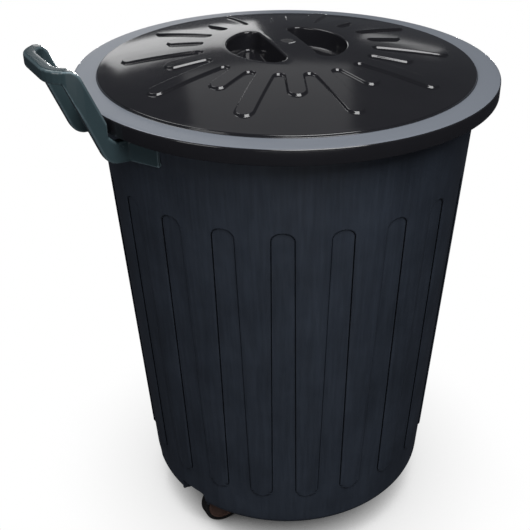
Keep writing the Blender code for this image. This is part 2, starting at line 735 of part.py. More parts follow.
def handle_envelope():
    """Everything inside the handle's outer line, seen from above."""
    side_y = ARM_OUTER_Y + FIT_GAP
    reach = GRIP_REACH + FIT_GAP
    corner = GRIP_OUTER_ROUND + FIT_GAP
    start = WALL_BASE_RADIUS - CUT_OVERRUN
    corners = [(start, -side_y, 0), (reach, -side_y, corner), (reach, side_y, corner), (start, side_y, 0)]
    return rounded(corners, ROUND_ARC_STEPS + 1)


def cheek(side):
    """The wedge beside an arm's foot, which runs out along the wall."""
    end_reach = math.sqrt((wall_radius(ARM_TOP_HEIGHT) + CHEEK_END_THICKNESS) ** 2 - CHEEK_END_Y ** 2)
    inner_y = ARM_OUTER_Y - ARM_THICKNESS / 2
    start = WALL_BASE_RADIUS
    corners = [(start, inner_y), (CHEEK_REACH, inner_y), (CHEEK_REACH, ARM_OUTER_Y),
               (end_reach, CHEEK_END_Y), (start, CHEEK_END_Y)]
    facing = Matrix(((-1, 0, 0, 0), (0, side, 0, 0), (0, 0, 1, 0), (0, 0, 0, 1)))
    return plate("cheek", corners, ARM_BOTTOM_HEIGHT + FIT_GAP, ARM_TOP_HEIGHT - FIT_GAP, facing,
                 CHEEK_EDGE_ROUND)


def make_handle(parent):
    """Two arms with wedge-shaped feet and a level grip, all one moulding."""
    arms = []
    for side, _ in SIDES:
        facing = Matrix(((-1, 0, 0, 0), (0, 0, side, 0), (0, 1, 0, 0), (0, 0, 0, 1)))
        arms.append(plate("arm", arm_outline(), ARM_OUTER_Y - ARM_THICKNESS, ARM_OUTER_Y, facing,
                          HANDLE_EDGE_ROUND))
    from_above = Matrix(((-1, 0, 0, 0), (0, 1, 0, 0), (0, 0, 1, 0), (0, 0, 0, 1)))
    handle = gathered("transport_handle", arms)
    low = ARM_BOTTOM_HEIGHT - CUT_OVERRUN
    high = GRIP_TOP_HEIGHT + CUT_OVERRUN
    keep_common(handle, plate("envelope", handle_envelope(), low, high, from_above))
    add(handle, plate("grip", grip_outline(), GRIP_BOTTOM_HEIGHT, GRIP_TOP_HEIGHT, from_above,
                      HANDLE_EDGE_ROUND))
    add(handle, cheek(1), cheek(-1))
    top = ARM_TOP_HEIGHT + CUT_OVERRUN
    seat = turned("wall_seat", [
        (0, top), (wall_radius(top) + FIT_GAP, top), (wall_radius(low) + FIT_GAP, low), (0, low),
    ], BIN_STEPS)
    cut(handle, seat)
    wall = wall_radius(SCREW_HEIGHT)
    for heading in screw_places():
        cut(handle, screw_rod("pilot", SCREW_RADIUS + FIT_GAP, heading, WALL_BASE_RADIUS,
                              wall + SCREW_BITE + FIT_GAP))
    return finish(handle, parent, material("handle_polypropylene", (0.026, 0.046, 0.053), 0.36))


def make_screws(parent):
    """Four pan-head screws, driven outwards from inside the bin."""
    outer = wall_radius(SCREW_HEIGHT) + SCREW_BITE
    head_top = wall_radius(SCREW_HEIGHT - SCREW_HEAD_RADIUS) - WALL_THICKNESS - FIT_GAP
    zinc = material("zinc_steel", (0.55, 0.56, 0.58), 0.35, 1.0)
    for number, heading in enumerate(screw_places(), 1):
        head = screw_rod(f"handle_screw_{number}", SCREW_HEAD_RADIUS, heading,
                         head_top - SCREW_HEAD_HEIGHT, head_top)
        shank = screw_rod("shank", SCREW_RADIUS, heading, head_top - SCREW_HEAD_HEIGHT / 2, outer)
        finish(add(head, shank), parent, zinc)


def on_axle(name, profile, side):
    """A profile of (radius, distance out) points turned about the wheels' axis."""
    shape = turned(name, profile, WHEEL_STEPS, closed=True)
    place = Matrix.Translation((-AXLE_SETBACK, 0, WHEEL_RADIUS))
    shape.data.transform(place @ Matrix.Rotation(-side * math.pi / 2, 4, "X"))
    return shape


def make_axle(parent):
    half = AXLE_HALF_LENGTH
    tip = AXLE_RADIUS - AXLE_CHAMFER
    bar = turned("axle", [
        (0, half), (tip, half), (AXLE_RADIUS, half - AXLE_CHAMFER),
        (AXLE_RADIUS, AXLE_CHAMFER - half), (tip, -half), (0, -half),
    ], WHEEL_STEPS)
    place = Matrix.Translation((-AXLE_SETBACK, 0, WHEEL_RADIUS))
    bar.data.transform(place @ Matrix.Rotation(math.pi / 2, 4, "X"))
    return finish(bar, parent, material("axle_steel", (0.60, 0.60, 0.62), 0.30, 1.0))


def make_caps(parent):
    """Two push-on caps, each with a blind bore over an axle end."""
    nylon = material("cap_nylon", (0.020, 0.020, 0.022), 0.40)
    bore_end = AXLE_HALF_LENGTH + FIT_GAP
    dome = arc((CAP_RADIUS - CAP_DOME, CAP_OUTER_Y - CAP_DOME), CAP_DOME, math.pi / 2, 0, CAP_DOME_STEPS)
    profile = [(0, CAP_OUTER_Y)] + dome + [(CAP_RADIUS, CAP_INNER_Y), (BORE_RADIUS, CAP_INNER_Y)]
    profile += [(BORE_RADIUS, bore_end), (0, bore_end)]
    place = Matrix.Translation((-AXLE_SETBACK, 0, WHEEL_RADIUS))
    for side, word in SIDES:
        cap = turned("axle_cap_" + word, profile, WHEEL_STEPS)
        cap.data.transform(place @ Matrix.Rotation(-side * math.pi / 2, 4, "X"))
        finish(cap, parent, nylon)


def make_tyre(name, side, parent):
    outer = WHEEL_OUTER_Y
    inner = WHEEL_INNER_Y
    middle = (outer + inner) / 2
    bore = HUB_RADIUS + FIT_GAP
    rib_half = TYRE_RIB_WIDTH / 2
    edge = TYRE_EDGE
    profile = arc((WHEEL_RADIUS - edge, outer - edge), edge, math.pi / 2, 0, TYRE_EDGE_STEPS)
    profile += arc((WHEEL_RADIUS - edge, inner + edge), edge, 0, -math.pi / 2, TYRE_EDGE_STEPS)
    profile += [(bore, inner), (bore, middle - rib_half), (bore - TYRE_RIB_DEPTH, middle - rib_half),
                (bore - TYRE_RIB_DEPTH, middle + rib_half), (bore, middle + rib_half), (bore, outer)]
    tyre = on_axle(name, profile, side)
    axis = (-AXLE_SETBACK, side * middle, WHEEL_RADIUS)
    return finish(tyre, parent, material(name + "_rubber", (0.010, 0.010, 0.011), 0.75), axis)


def hub_profile():
    """Half section of a hub: outer disc, rim with the tyre's groove, and a boss with the cap's recess."""
    outer = WHEEL_OUTER_Y
    inner = WHEEL_INNER_Y
    middle = (outer + inner) / 2
    groove = TYRE_RIB_WIDTH / 2 + FIT_GAP
    groove_radius = HUB_RADIUS - TYRE_RIB_DEPTH
    rim_inner = groove_radius - HUB_RIM
    recess = CAP_RADIUS + FIT_GAP
    recess_floor = CAP_INNER_Y - FIT_GAP
    boss_end = LUG_INNER_Y + LUG_THICKNESS + FIT_GAP
    return [
        (recess, outer), (HUB_RADIUS, outer), (HUB_RADIUS, middle + groove),
        (groove_radius, middle + groove), (groove_radius, middle - groove), (HUB_RADIUS, middle - groove),
        (HUB_RADIUS, inner), (rim_inner, inner), (rim_inner, outer - HUB_WEB),
        (HUB_BOSS_RADIUS, outer - HUB_WEB), (HUB_BOSS_RADIUS, boss_end), (BORE_RADIUS, boss_end),
        (BORE_RADIUS, recess_floor), (recess, recess_floor),
    ]


def make_hub(name, side, parent):
    """A dished hub with stiffening spokes on its inner side."""
    hub = on_axle(name, hub_profile(), side)
    middle = (WHEEL_OUTER_Y + WHEEL_INNER_Y) / 2
    spoke_outer = HUB_RADIUS - TYRE_RIB_DEPTH - HUB_RIM / 2
    spoke_inner = (HUB_BOSS_RADIUS + CAP_RADIUS + FIT_GAP) / 2
    half = HUB_SPOKE_WIDTH / 2
    back = WHEEL_INNER_Y + HUB_WEB / 2
    front = WHEEL_OUTER_Y - HUB_WEB / 2
    place = Matrix.Translation((-AXLE_SETBACK, 0, WHEEL_RADIUS))
    for i in range(HUB_SPOKES):
        spoke = block("spoke", (spoke_inner, -half, back), (spoke_outer, half, front))
        spin = Matrix.Rotation(math.tau * i / HUB_SPOKES, 4, "Z")
        spoke.data.transform(place @ Matrix.Rotation(-side * math.pi / 2, 4, "X") @ spin)
        add(hub, spoke)
    axis = (-AXLE_SETBACK, side * middle, WHEEL_RADIUS)
    return finish(hub, parent, material(name + "_polypropylene", (0.028, 0.017, 0.013), 0.45), axis)


def axis_empty(name, location):
    """An empty that marks an axis which its children share."""
    empty = bpy.data.objects.new(name, None)
    empty.location = location
    parts.objects.link(empty)
    return empty


def build():
    clear_scene()
    bin_axis = axis_empty("bin_axis", (BIN_AXIS_X, 0, 0))
    make_bin(bin_axis)
    make_handle(bin_axis)
    make_screws(bin_axis)
    make_axle(bin_axis)
    make_caps(bin_axis)
    for side, word in SIDES:
        make_hub("wheel_hub_" + word, side, bin_axis)
        make_tyre("wheel_tyre_" + word, side, bin_axis)
    make_lid(bin_axis)


build()
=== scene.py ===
# Round wheeled trash can: its look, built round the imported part.
# Metres, in the part's own frame: the ground is at Z = 0, the tow handle and the wheels are at -X.
from math import atan2, cos, hypot, pi, radians, sin, sqrt, tau

import bmesh
import bpy
from mathutils import Matrix, Vector
from mathutils.geometry import delaunay_2d_cdt


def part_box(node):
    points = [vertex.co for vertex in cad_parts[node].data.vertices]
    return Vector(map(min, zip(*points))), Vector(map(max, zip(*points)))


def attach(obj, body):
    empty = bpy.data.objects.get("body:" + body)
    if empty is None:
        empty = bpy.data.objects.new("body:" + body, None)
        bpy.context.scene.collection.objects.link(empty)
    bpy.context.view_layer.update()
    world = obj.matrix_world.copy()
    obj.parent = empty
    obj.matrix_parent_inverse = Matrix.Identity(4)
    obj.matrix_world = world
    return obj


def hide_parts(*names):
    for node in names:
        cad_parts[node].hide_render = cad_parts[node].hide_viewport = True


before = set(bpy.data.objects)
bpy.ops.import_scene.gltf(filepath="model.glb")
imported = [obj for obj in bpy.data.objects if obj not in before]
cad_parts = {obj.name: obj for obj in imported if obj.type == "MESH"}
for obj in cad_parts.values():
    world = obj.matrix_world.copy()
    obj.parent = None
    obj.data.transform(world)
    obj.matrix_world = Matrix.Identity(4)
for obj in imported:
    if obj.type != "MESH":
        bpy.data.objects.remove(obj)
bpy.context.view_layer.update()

# Bin body. One large injection moulding in polypropylene, black with a little blue, satin from the
# eroded steel of its mould. Twenty-one flutes and the band below them are sunk into the wall, the rim
# rolls out and down, and the same shot makes the floor, the wheel wells, the axle lugs and the foot.
MM = 0.001
bin_low, bin_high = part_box("bin_body")
AXIS_X = (bin_low[0] + bin_high[0]) / 2
RIM_RADIUS = (bin_high[0] - bin_low[0]) / 2
RIM_HEIGHT = bin_high[2]
RIM_LIP_DEPTH = 10.5 * MM
RIM_ROUND = 2 * MM
WALL = 2.8 * MM
WALL_TOP_RADIUS = 220.8 * MM
WALL_TOP_HEIGHT = 580 * MM
WALL_BASE_RADIUS = 189.5 * MM
BASE_HEIGHT = 44.7 * MM
BASE_FILLET = 12 * MM
FLUTE_COUNT = 21
FLUTE_PITCH = tau / FLUTE_COUNT
FLUTE_TURN = radians(-122.1)
FLUTE_DEPTH = 1.8 * MM
FLUTE_EDGE = 1.0 * MM
FLUTE_TOP = 491.5 * MM
FLUTE_TOP_HALF = 12.7 * MM
FLUTE_BASE_HALF = 15.5 * MM
FLUTE_ARCH_RISE = 10 * MM
PANEL_END = 98.5 * MM
PANEL_END_RISE = 12.5 * MM
FINE_MARGIN = 3 * MM


def linear(code):
    """An sRGB hex colour as linear red, green and blue, with full alpha."""
    shares = [int(code[i:i + 2], 16) / 255 for i in (1, 3, 5)]
    return (*[c / 12.92 if c <= 0.04045 else ((c + 0.055) / 1.055) ** 2.4 for c in shares], 1.0)


def node(tree, kind, settings=None):
    """A new node, or one that is there, with its properties (in lower case) and its inputs set.
    An input that is given a socket, or a node for its first output, is linked to it."""
    new = tree.nodes.new(kind) if isinstance(kind, str) else kind
    for key, value in (settings or {}).items():
        if isinstance(value, bpy.types.Node):
            value = value.outputs[0]
        if isinstance(value, bpy.types.NodeSocket):
            tree.links.new(value, new.inputs[key])
        elif isinstance(key, str) and key[0].islower():
            setattr(new, key, value)
        else:
            new.inputs[key].default_value = value
    return new


def new_material(name):
    """A material, its node tree and its main shader."""
    mat = bpy.data.materials.new(name)
    mat.use_nodes = True
    return mat, mat.node_tree, mat.node_tree.nodes["Principled BSDF"]


def moulded_plastic(name, colour, worn_colour, roughness, grain, relief, gloss=0.5, pull=0):
    """Plastic or rubber as it leaves its mould: an even colour with pale blotches of handling, streaks
    where it was pulled off, smudges in its sheen, a grain that softens the highlight, and flow marks
    that make it waver. The real grain is about 0.05 mm, too fine to show, so it is drawn coarser."""
    mat, tree, shader = new_material(name)
    place = node(tree, "ShaderNodeTexCoord").outputs["Object"]
    tall = node(tree, "ShaderNodeVectorMath", {"operation": "MULTIPLY", 0: place, 1: (1, 1, 0.03)})
    blotch, streak, smudge, spark, flow = [node(tree, "ShaderNodeTexNoise", {
        "Vector": where, "Scale": 1 / size, "Detail": detail, "Roughness": breakup})
        for where, size, detail, breakup in (
            (place, 60 * MM, 3.0, 0.5), (tall, 5 * MM, 3.0, 0.7), (place, 14 * MM, 5.0, 0.65),
            (place, grain, 2.0, 0.5), (place, 45 * MM, 1.0, 0.5))]
    mottle = node(tree, "ShaderNodeMapRange",
                  {"Value": blotch, "From Min": 0.35, "From Max": 0.75, "To Max": 0.35})
    streaked = node(tree, "ShaderNodeMapRange",
                    {"Value": streak, "From Min": 0.4, "From Max": 0.65, "To Max": pull})
    wear = node(tree, "ShaderNodeMath", {"operation": "ADD", "use_clamp": True, 0: mottle, 1: streaked})
    tone = node(tree, "ShaderNodeMix",
                {"data_type": "RGBA", "Factor": wear, 6: linear(colour), 7: linear(worn_colour)})
    rough = node(tree, "ShaderNodeMapRange", {"Value": smudge, "From Min": 0.3, "From Max": 0.7,
                                              "To Min": roughness * 0.88, "To Max": roughness * 1.14})
    fine = node(tree, "ShaderNodeBump", {"Strength": 0.5, "Distance": relief, "Height": spark})
    wave = node(tree, "ShaderNodeBump",
                {"Strength": 0.6, "Distance": 0.35 * MM, "Height": flow, "Normal": fine})
    node(tree, shader, {"IOR": 1.49, "Specular IOR Level": gloss, "Base Color": tone.outputs[2],
                        "Roughness": rough, "Normal": wave})
    return mat


def refinish_with_painted_light(mat, mask, colour, roughness):
    """Another colour and roughness where the mask is 1: the roughness for a part of the mould with
    another finish, the colour for painted shade or painted light there.
    """
    tree = mat.node_tree
    shader = tree.nodes["Principled BSDF"]
    tone, rough = [shader.inputs[name].links[0].from_socket for name in ("Base Color", "Roughness")]
    tone = node(tree, "ShaderNodeMix", {"data_type": "RGBA", "Factor": mask, 6: tone, 7: linear(colour)})
    rough = node(tree, "ShaderNodeMix", {"Factor": mask, 2: rough, 3: roughness})
    node(tree, shader, {"Base Color": tone.outputs[2], "Roughness": rough})


def wall_radius(height):
    """Outer radius of the raised wall at a height."""
    slope = (WALL_TOP_RADIUS - WALL_BASE_RADIUS) / (WALL_TOP_HEIGHT - BASE_HEIGHT)
    return WALL_BASE_RADIUS + slope * (height - BASE_HEIGHT)


def arc(centre, radius, start, end, steps):
    """Points along an arc, both ends included."""
    angles = [start + (end - start) * i / steps for i in range(steps + 1)]
    return [(centre[0] + radius * cos(a), centre[1] + radius * sin(a)) for a in angles]


def outer_corner(radius, height, size, steps):
    """A profile's upper outer corner, rounded."""
    return arc((radius - size, height - size), size, pi / 2, 0, steps)


def spread(first, last, steps):
    """Evenly spaced values from first to last, both included."""
    return [first + (last - first) * i / steps for i in range(steps + 1)]


def circle(radius, steps):
    """Points round the axis at a radius."""
    return arc((0, 0), radius, 0, tau, steps)[:-1]


def ring(points, height, middle=0):
    """Flat points set at a height, about an axis at the X of the middle."""
    return [Vector((middle + x, y, height)) for x, y in points]


def column_angles(height):
    """Angles of the wall's columns at a height. They crowd at each flute's edges and lean with them."""
    height = min(max(height, BASE_HEIGHT), FLUTE_TOP)
    share = (height - BASE_HEIGHT) / (FLUTE_TOP - BASE_HEIGHT)
    half = FLUTE_BASE_HALF + (FLUTE_TOP_HALF - FLUTE_BASE_HALF) * share
    radius = wall_radius(height)
    inner = (half - FLUTE_EDGE) / radius
    outer = (half + FLUTE_EDGE) / radius
    side = spread(0, inner, 10)[1:] + spread(inner, outer, 4)[1:] + spread(outer, FLUTE_PITCH / 2, 4)[1:]
    pitch = [-angle for angle in reversed(side[:-1])] + [0] + side
    return [FLUTE_TURN + i * FLUTE_PITCH + angle for i in range(FLUTE_COUNT) for angle in pitch]


def loft(name, rings, poles=(None, None)):
    """A skin through rings of points, closed at an end by a fan where a pole is given."""
    count = len(rings[0])
    points = [point for ring in rings for point in ring]
    faces = []
    for row in range(len(rings) - 1):
        for i in range(count):
            j = (i + 1) % count
            above = row * count
            below = above + count
            faces.append((above + i, below + i, below + j, above + j))
    last = (len(rings) - 1) * count
    for pole, start, turn in zip(poles, (0, last), (1, -1)):
        if pole is not None:
            points.append(pole)
            for i in range(count):
                j = (i + 1) % count
                faces.append((len(points) - 1, start + i, start + j)[::turn])
    mesh = bpy.data.meshes.new(name)
    mesh.from_pydata(points, [], faces)
    return mesh


def shown(name, data):
    """A mesh, a curve, a lamp or a camera as an object in the scene."""
    obj = bpy.data.objects.new(name, data)
    bpy.context.scene.collection.objects.link(obj)
    return obj


def plain_mesh(obj):
    """A new mesh of an object's shape, with its modifiers worked in."""
    return bpy.data.meshes.new_from_object(obj.evaluated_get(bpy.context.evaluated_depsgraph_get()))


def settled(obj):
    """Works an object's modifiers into its own mesh."""
    mesh = plain_mesh(obj)
    obj.modifiers.clear()
    obj.data = mesh


def bin_rows():
    """Half section of the bin as (radius, height, pressed), from the floor's middle to the base's.
    The last number of each run counts its steps: many where the flutes end, few on plain wall."""
    floor = BASE_HEIGHT + WALL
    round_in = BASE_FILLET - WALL
    floor_edge = wall_radius(floor) - (WALL + FLUTE_DEPTH) - round_in
    rows = [(radius, floor) for radius in spread(0, floor_edge, 4)[1:]]
    rows += arc((floor_edge, floor + round_in), round_in, -pi / 2, 0, 5)[1:]
    step_low = rows[-1]
    step_high = (wall_radius(FLUTE_TOP) - WALL, FLUTE_TOP)
    for share in spread(0, 1, 5)[1:]:
        rows.append(tuple(low + (high - low) * share for low, high in zip(step_low, step_high)))
    lip = WALL / 2
    rim_inner = wall_radius(RIM_HEIGHT) - WALL
    rows += arc((rim_inner + lip, RIM_HEIGHT - lip), lip, pi, pi / 2, 4)
    rows += outer_corner(RIM_RADIUS, RIM_HEIGHT, lip, 4)
    rows += arc((RIM_RADIUS - lip, RIM_HEIGHT - RIM_LIP_DEPTH + lip), lip, 0, -pi, 6)
    web = RIM_HEIGHT - WALL
    under = web - RIM_ROUND
    rows += arc((RIM_RADIUS - WALL - RIM_ROUND, under), RIM_ROUND, 0, pi / 2, 3)
    rows += arc((wall_radius(under) + RIM_ROUND, under), RIM_ROUND, pi / 2, pi, 3)
    rows = [(radius, height, 0.0) for radius, height in rows]
    fillet_high = BASE_HEIGHT + BASE_FILLET
    heights = [web - 2 * RIM_ROUND]
    for end, steps in ((FLUTE_TOP + FINE_MARGIN, 6), (FLUTE_TOP - FLUTE_ARCH_RISE - FINE_MARGIN, 26),
                       (PANEL_END + PANEL_END_RISE + FINE_MARGIN, 12), (PANEL_END - FINE_MARGIN, 28),
                       (fillet_high, 3)):
        heights += spread(heights[-1], end, steps)[1:]
    rows += [(wall_radius(height), height, 1.0) for height in heights]
    foot_edge = wall_radius(fillet_high) - BASE_FILLET
    rows += [(*point, 1.0) for point in arc((foot_edge, fillet_high), BASE_FILLET, 0, -pi / 2, 7)[1:]]
    rows += [(radius, BASE_HEIGHT, 0.0) for radius in spread(foot_edge, 0, 5)[1:-1]]
    return rows


def flute_press(tree, given):
    """Sinks the flutes and the band below them into the marked rows of the wall. Each row of the
    table is a result, its operation, and what that takes: a size, an earlier result or a number.
    Distances run along the wall and are negative on the sunk side."""
    here = node(tree, "ShaderNodeSeparateXYZ", {0: node(tree, "GeometryNodeInputPosition")}).outputs
    marked = node(tree, "GeometryNodeInputNamedAttribute", {"data_type": "FLOAT", "Name": "pressed"})
    found = dict(given.items() + here.items(), marked=marked)
    signs = {"+": "ADD", "-": "SUBTRACT", "*": "MULTIPLY", "/": "DIVIDE"}
    for result, way, *values in (
            # How far a point is from the axis, and from the middle of the nearest flute.
            ("x", "-", "X", "Axis X"), ("x2", "*", "x", "x"), ("y2", "*", "Y", "Y"),
            ("radius2", "+", "x2", "y2"), ("radius", "SQRT", "radius2"),
            ("half_pitch", "/", pi, "Flutes"), ("back", "*", "half_pitch", -1.0),
            ("heading", "ARCTAN2", "Y", "x"), ("turn", "-", "heading", "First Flute"),
            ("swing", "WRAP", "turn", "half_pitch", "back"), ("run", "*", "swing", "radius"),
            ("across", "ABSOLUTE", "run"), ("across2", "*", "across", "across"),
            # The flute, which narrows upwards, with its arched top.
            ("width", "LINEAR", "Z", "Base", "Top", "Base Half Width", "Top Half Width"),
            ("side", "-", "across", "width"), ("springing", "-", "Top", "Arch Rise"),
            ("rise", "-", "Z", "springing"), ("rise", "MAXIMUM", "rise", 0.0),
            ("stretch", "/", "width", "Arch Rise"), ("above", "*", "rise", "stretch"),
            ("above2", "*", "above", "above"), ("sum", "+", "across2", "above2"),
            ("reach", "SQRT", "sum"), ("arch", "-", "reach", "width"),
            # The raised panel between two flutes, with its rounded lower end.
            ("pitch_run", "*", "half_pitch", "radius"), ("half", "-", "pitch_run", "width"),
            ("aside", "-", "pitch_run", "across"), ("aside2", "*", "aside", "aside"),
            ("end", "+", "Panel End", "Panel End Rise"), ("drop", "-", "end", "Z"),
            ("drop", "MAXIMUM", "drop", 0.0), ("stretch", "/", "half", "Panel End Rise"),
            ("below", "*", "drop", "stretch"), ("below2", "*", "below", "below"),
            ("sum", "+", "aside2", "below2"), ("reach", "SQRT", "sum"), ("panel", "-", "reach", "half"),
            # How deep the point is pressed in, and its shift towards the axis.
            ("distance", "-", "arch", "panel"), ("distance", "-", "distance", "side"),
            ("inside", "*", "Edge", -1.0), ("sunk", "SMOOTHSTEP", "distance", "inside", "Edge", 1.0, 0.0),
            ("amount", "*", "sunk", "marked"), ("amount", "*", "amount", "Depth"),
            ("amount", "*", "amount", -1.0), ("safe", "MAXIMUM", "radius", 0.001),
            ("inward", "/", "amount", "safe"), ("shift_x", "*", "x", "inward"),
            ("shift_y", "*", "Y", "inward"),
            # The foot of each step, where shade is painted in near black.
            ("foot", "POWER", "sunk", 3.0), ("rest", "-", 1.0, "sunk"), ("foot", "*", "foot", "rest"),
            ("strength", "*", "marked", 14.0), ("corner", "*", "foot", "strength")):
        way = signs.get(way, way)
        ranged = way in ("LINEAR", "SMOOTHSTEP")
        kind = "ShaderNodeMapRange" if ranged else "ShaderNodeMath"
        settings = {"interpolation_type": way, "clamp": False} if ranged else {"operation": way}
        for i, value in enumerate(values):
            settings[i] = found[value] if isinstance(value, str) else value
        found[result] = node(tree, kind, settings)
    offset = node(tree, "ShaderNodeCombineXYZ", {"X": found["shift_x"], "Y": found["shift_y"]})
    pressed = node(tree, "GeometryNodeSetPosition", {"Geometry": given["Geometry"], "Offset": offset})
    return node(tree, "GeometryNodeStoreNamedAttribute", {
        "domain": "POINT", "Name": "flute_corner", "Geometry": pressed, "Value": found["corner"]})


def run_nodes(obj, shape, values):
    """Makes a geometry node tree with an input for each value, runs it on an object and keeps the plain
    result. The shape function adds the tree's middle, and its end makes that real and paints it."""
    tree = bpy.data.node_groups.new(shape.__name__, "GeometryNodeTree")
    add = tree.interface.new_socket
    add("Geometry", in_out="OUTPUT", socket_type="NodeSocketGeometry")
    add("Geometry", in_out="INPUT", socket_type="NodeSocketGeometry")
    kinds = {float: "Float", int: "Int", bpy.types.Object: "Object", bpy.types.Material: "Material"}
    ids = {name: add(name, in_out="INPUT", socket_type="NodeSocket" + kinds[type(value)]).identifier
           for name, value in values.items()}
    given = node(tree, "NodeGroupInput").outputs
    real = node(tree, "GeometryNodeRealizeInstances", {"Geometry": shape(tree, given)})
    painted = node(tree, "GeometryNodeSetMaterial", {"Geometry": real, "Material": given["Material"]})
    node(tree, "NodeGroupOutput", {"Geometry": painted})
    step = obj.modifiers.new("shape", "NODES")
    step.node_group = tree
    for name, value in values.items():
        step[ids[name]] = value
    settled(obj)


# Polypropylene from an eroded mould: a soft satin bloom instead of a highlight, faint upright streaks,
# and painted shade at the foot of each flute's edge, a near black, smoother line. The grain is drawn at
# 0.9 mm.
bin_plastic = moulded_plastic("polypropylene_eroded_blue_black", "#20252d", "#343b46", roughness=0.40,
                              grain=0.9 * MM, relief=0.05 * MM, pull=0.22)
flute_corner = node(bin_plastic.node_tree, "ShaderNodeAttribute", {"attribute_name": "flute_corner"})
refinish_with_painted_light(bin_plastic, flute_corner.outputs["Fac"], "#020203", roughness=0.18)
rows = bin_rows()
rings = [ring([(radius * cos(a), radius * sin(a)) for a in column_angles(height)], height, AXIS_X)
         for radius, height, _ in rows]
bin_mesh = loft("bin_moulding", rings, [Vector((AXIS_X, 0, BASE_HEIGHT + rise)) for rise in (WALL, 0)])
marks = [pressed for _, _, pressed in rows for _ in rings[0]] + [0.0, 0.0]
bin_mesh.attributes.new("pressed", "FLOAT", "POINT").data.foreach_set("value", marks)
bin_moulding = shown("bin_moulding", bin_mesh)
run_nodes(bin_moulding, flute_press, {
    "Axis X": AXIS_X, "Flutes": float(FLUTE_COUNT), "First Flute": FLUTE_TURN, "Depth": FLUTE_DEPTH,
    "Edge": FLUTE_EDGE, "Top": FLUTE_TOP, "Top Half Width": FLUTE_TOP_HALF, "Base": BASE_HEIGHT,
    "Base Half Width": FLUTE_BASE_HALF, "Arch Rise": FLUTE_ARCH_RISE, "Panel End": PANEL_END,
    "Panel End Rise": PANEL_END_RISE, "Material": bin_plastic})

# Wheel wells, axle lugs and front foot, moulded in one with the bin. Each well is open below and
# through the wall, a lug hangs from its roof for the axle, and the foot is hollow from inside.
WELL_INNER_Y = 34 * MM
WELL_OUTER_Y = 75.5 * MM
WELL_REACH = 105 * MM
WELL_HEIGHT = 65.5 * MM
WELL_CORNER = 6 * MM
WELL_TRIM_TOP = 100 * MM
WELL_TRIM_INSET = 3.2 * MM
FOOT_ARC = 117 * MM
FOOT_HALF = 19 * MM
FOOT_SWING = radians(42)
FOOT_EDGE = 1.5 * MM
LUG_HALF = 11 * MM
LUG_INNER_Y = 40 * MM
LUG_THICKNESS = 9.5 * MM
CLEARANCE = 0.3 * MM
MERGE = 0.02 * MM
SCREW_RADIUS = 2 * MM
SCREW_HOLE_HALF = 20 * MM
axle_low, axle_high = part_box("axle")
AXLE_X = (axle_low[0] + axle_high[0]) / 2
AXLE_Z = (axle_low[2] + axle_high[2]) / 2
AXLE_RADIUS = (axle_high[2] - axle_low[2]) / 2
BORE = AXLE_RADIUS + CLEARANCE
SCREW_NODES = [f"handle_screw_{i}" for i in (1, 2, 3, 4)]
screw_boxes = [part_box(name) for name in SCREW_NODES]
screw_middles = [(Vector(low) + Vector(high)) / 2 for low, high in screw_boxes]
screw_ways = [Vector((middle.x - AXIS_X, middle.y, 0)).normalized() for middle in screw_middles]


def closed(mesh, merge, place=Matrix.Identity(4)):
    """Merges a closed mesh's doubles, sets it in its place and turns its faces outwards."""
    solid = bmesh.new()
    solid.from_mesh(mesh)
    bmesh.ops.remove_doubles(solid, verts=solid.verts, dist=merge)
    solid.transform(place)
    bmesh.ops.recalc_face_normals(solid, faces=solid.faces)
    if solid.calc_volume(signed=True) < 0:
        bmesh.ops.reverse_faces(solid, faces=solid.faces)
    solid.to_mesh(mesh)
    solid.free()


def written(name, solid):
    """A shape that is done being edited, as an object."""
    mesh = bpy.data.meshes.new(name)
    solid.to_mesh(mesh)
    solid.free()
    return shown(name, mesh)


def plate(name, outline, low, high, place, round_edge=0):
    """A flat outline made a slab from low to high along the third axis of its place."""
    curve = bpy.data.curves.new(name, "CURVE")
    curve.dimensions = "2D"
    curve.fill_mode = "BOTH"
    curve.extrude = (high - low) / 2 - round_edge
    curve.bevel_depth = round_edge
    curve.bevel_resolution = 2
    curve.offset = -round_edge
    spline = curve.splines.new("POLY")
    spline.points.add(len(outline) - 1)
    for point, (across, along) in zip(spline.points, outline):
        point.co = (across, along, 0, 1)
    spline.use_cyclic_u = True
    guide = shown(name, curve)
    mesh = plain_mesh(guide)
    bpy.data.objects.remove(guide)
    closed(mesh, MERGE, place @ Matrix.Translation((0, 0, (low + high) / 2)))
    return shown(name, mesh)


def rod(name, radius, start, end, sides=48):
    """A round bar between two points."""
    run = end - start
    turn = run.to_track_quat("Z", "Y").to_matrix().to_4x4()
    solid = bmesh.new()
    bmesh.ops.create_cone(solid, cap_ends=True, segments=sides, radius1=radius, radius2=radius,
                          depth=run.length, matrix=Matrix.Translation((start + end) / 2) @ turn)
    return written(name, solid)


def joined(obj, other, operation):
    """A Boolean with another object, which is used up."""
    step = obj.modifiers.new("join", "BOOLEAN")
    step.operation = operation
    step.object = other
    settled(obj)
    bpy.data.objects.remove(other)
    return obj


def well(name, side, grow):
    """A wheel well's space, or with its walls when it is grown by their thickness."""
    facing = Matrix(((0, 0, -1, AXIS_X), (side, 0, 0, 0), (0, 1, 0, 0), (0, 0, 0, 1)))
    low = BASE_HEIGHT + WALL / 2 if grow else -CLEARANCE
    inner, outer, top = WELL_INNER_Y - grow, WELL_OUTER_Y + grow, WELL_HEIGHT + grow
    corner = WELL_CORNER + grow
    outline = [(inner, low), (outer, low)] + arc((outer - corner, top - corner), corner, 0, pi / 2, 6)
    outline += arc((inner + corner, top - corner), corner, pi / 2, pi, 6)
    return plate(name, outline, WELL_REACH - grow, WALL_TOP_RADIUS, facing)


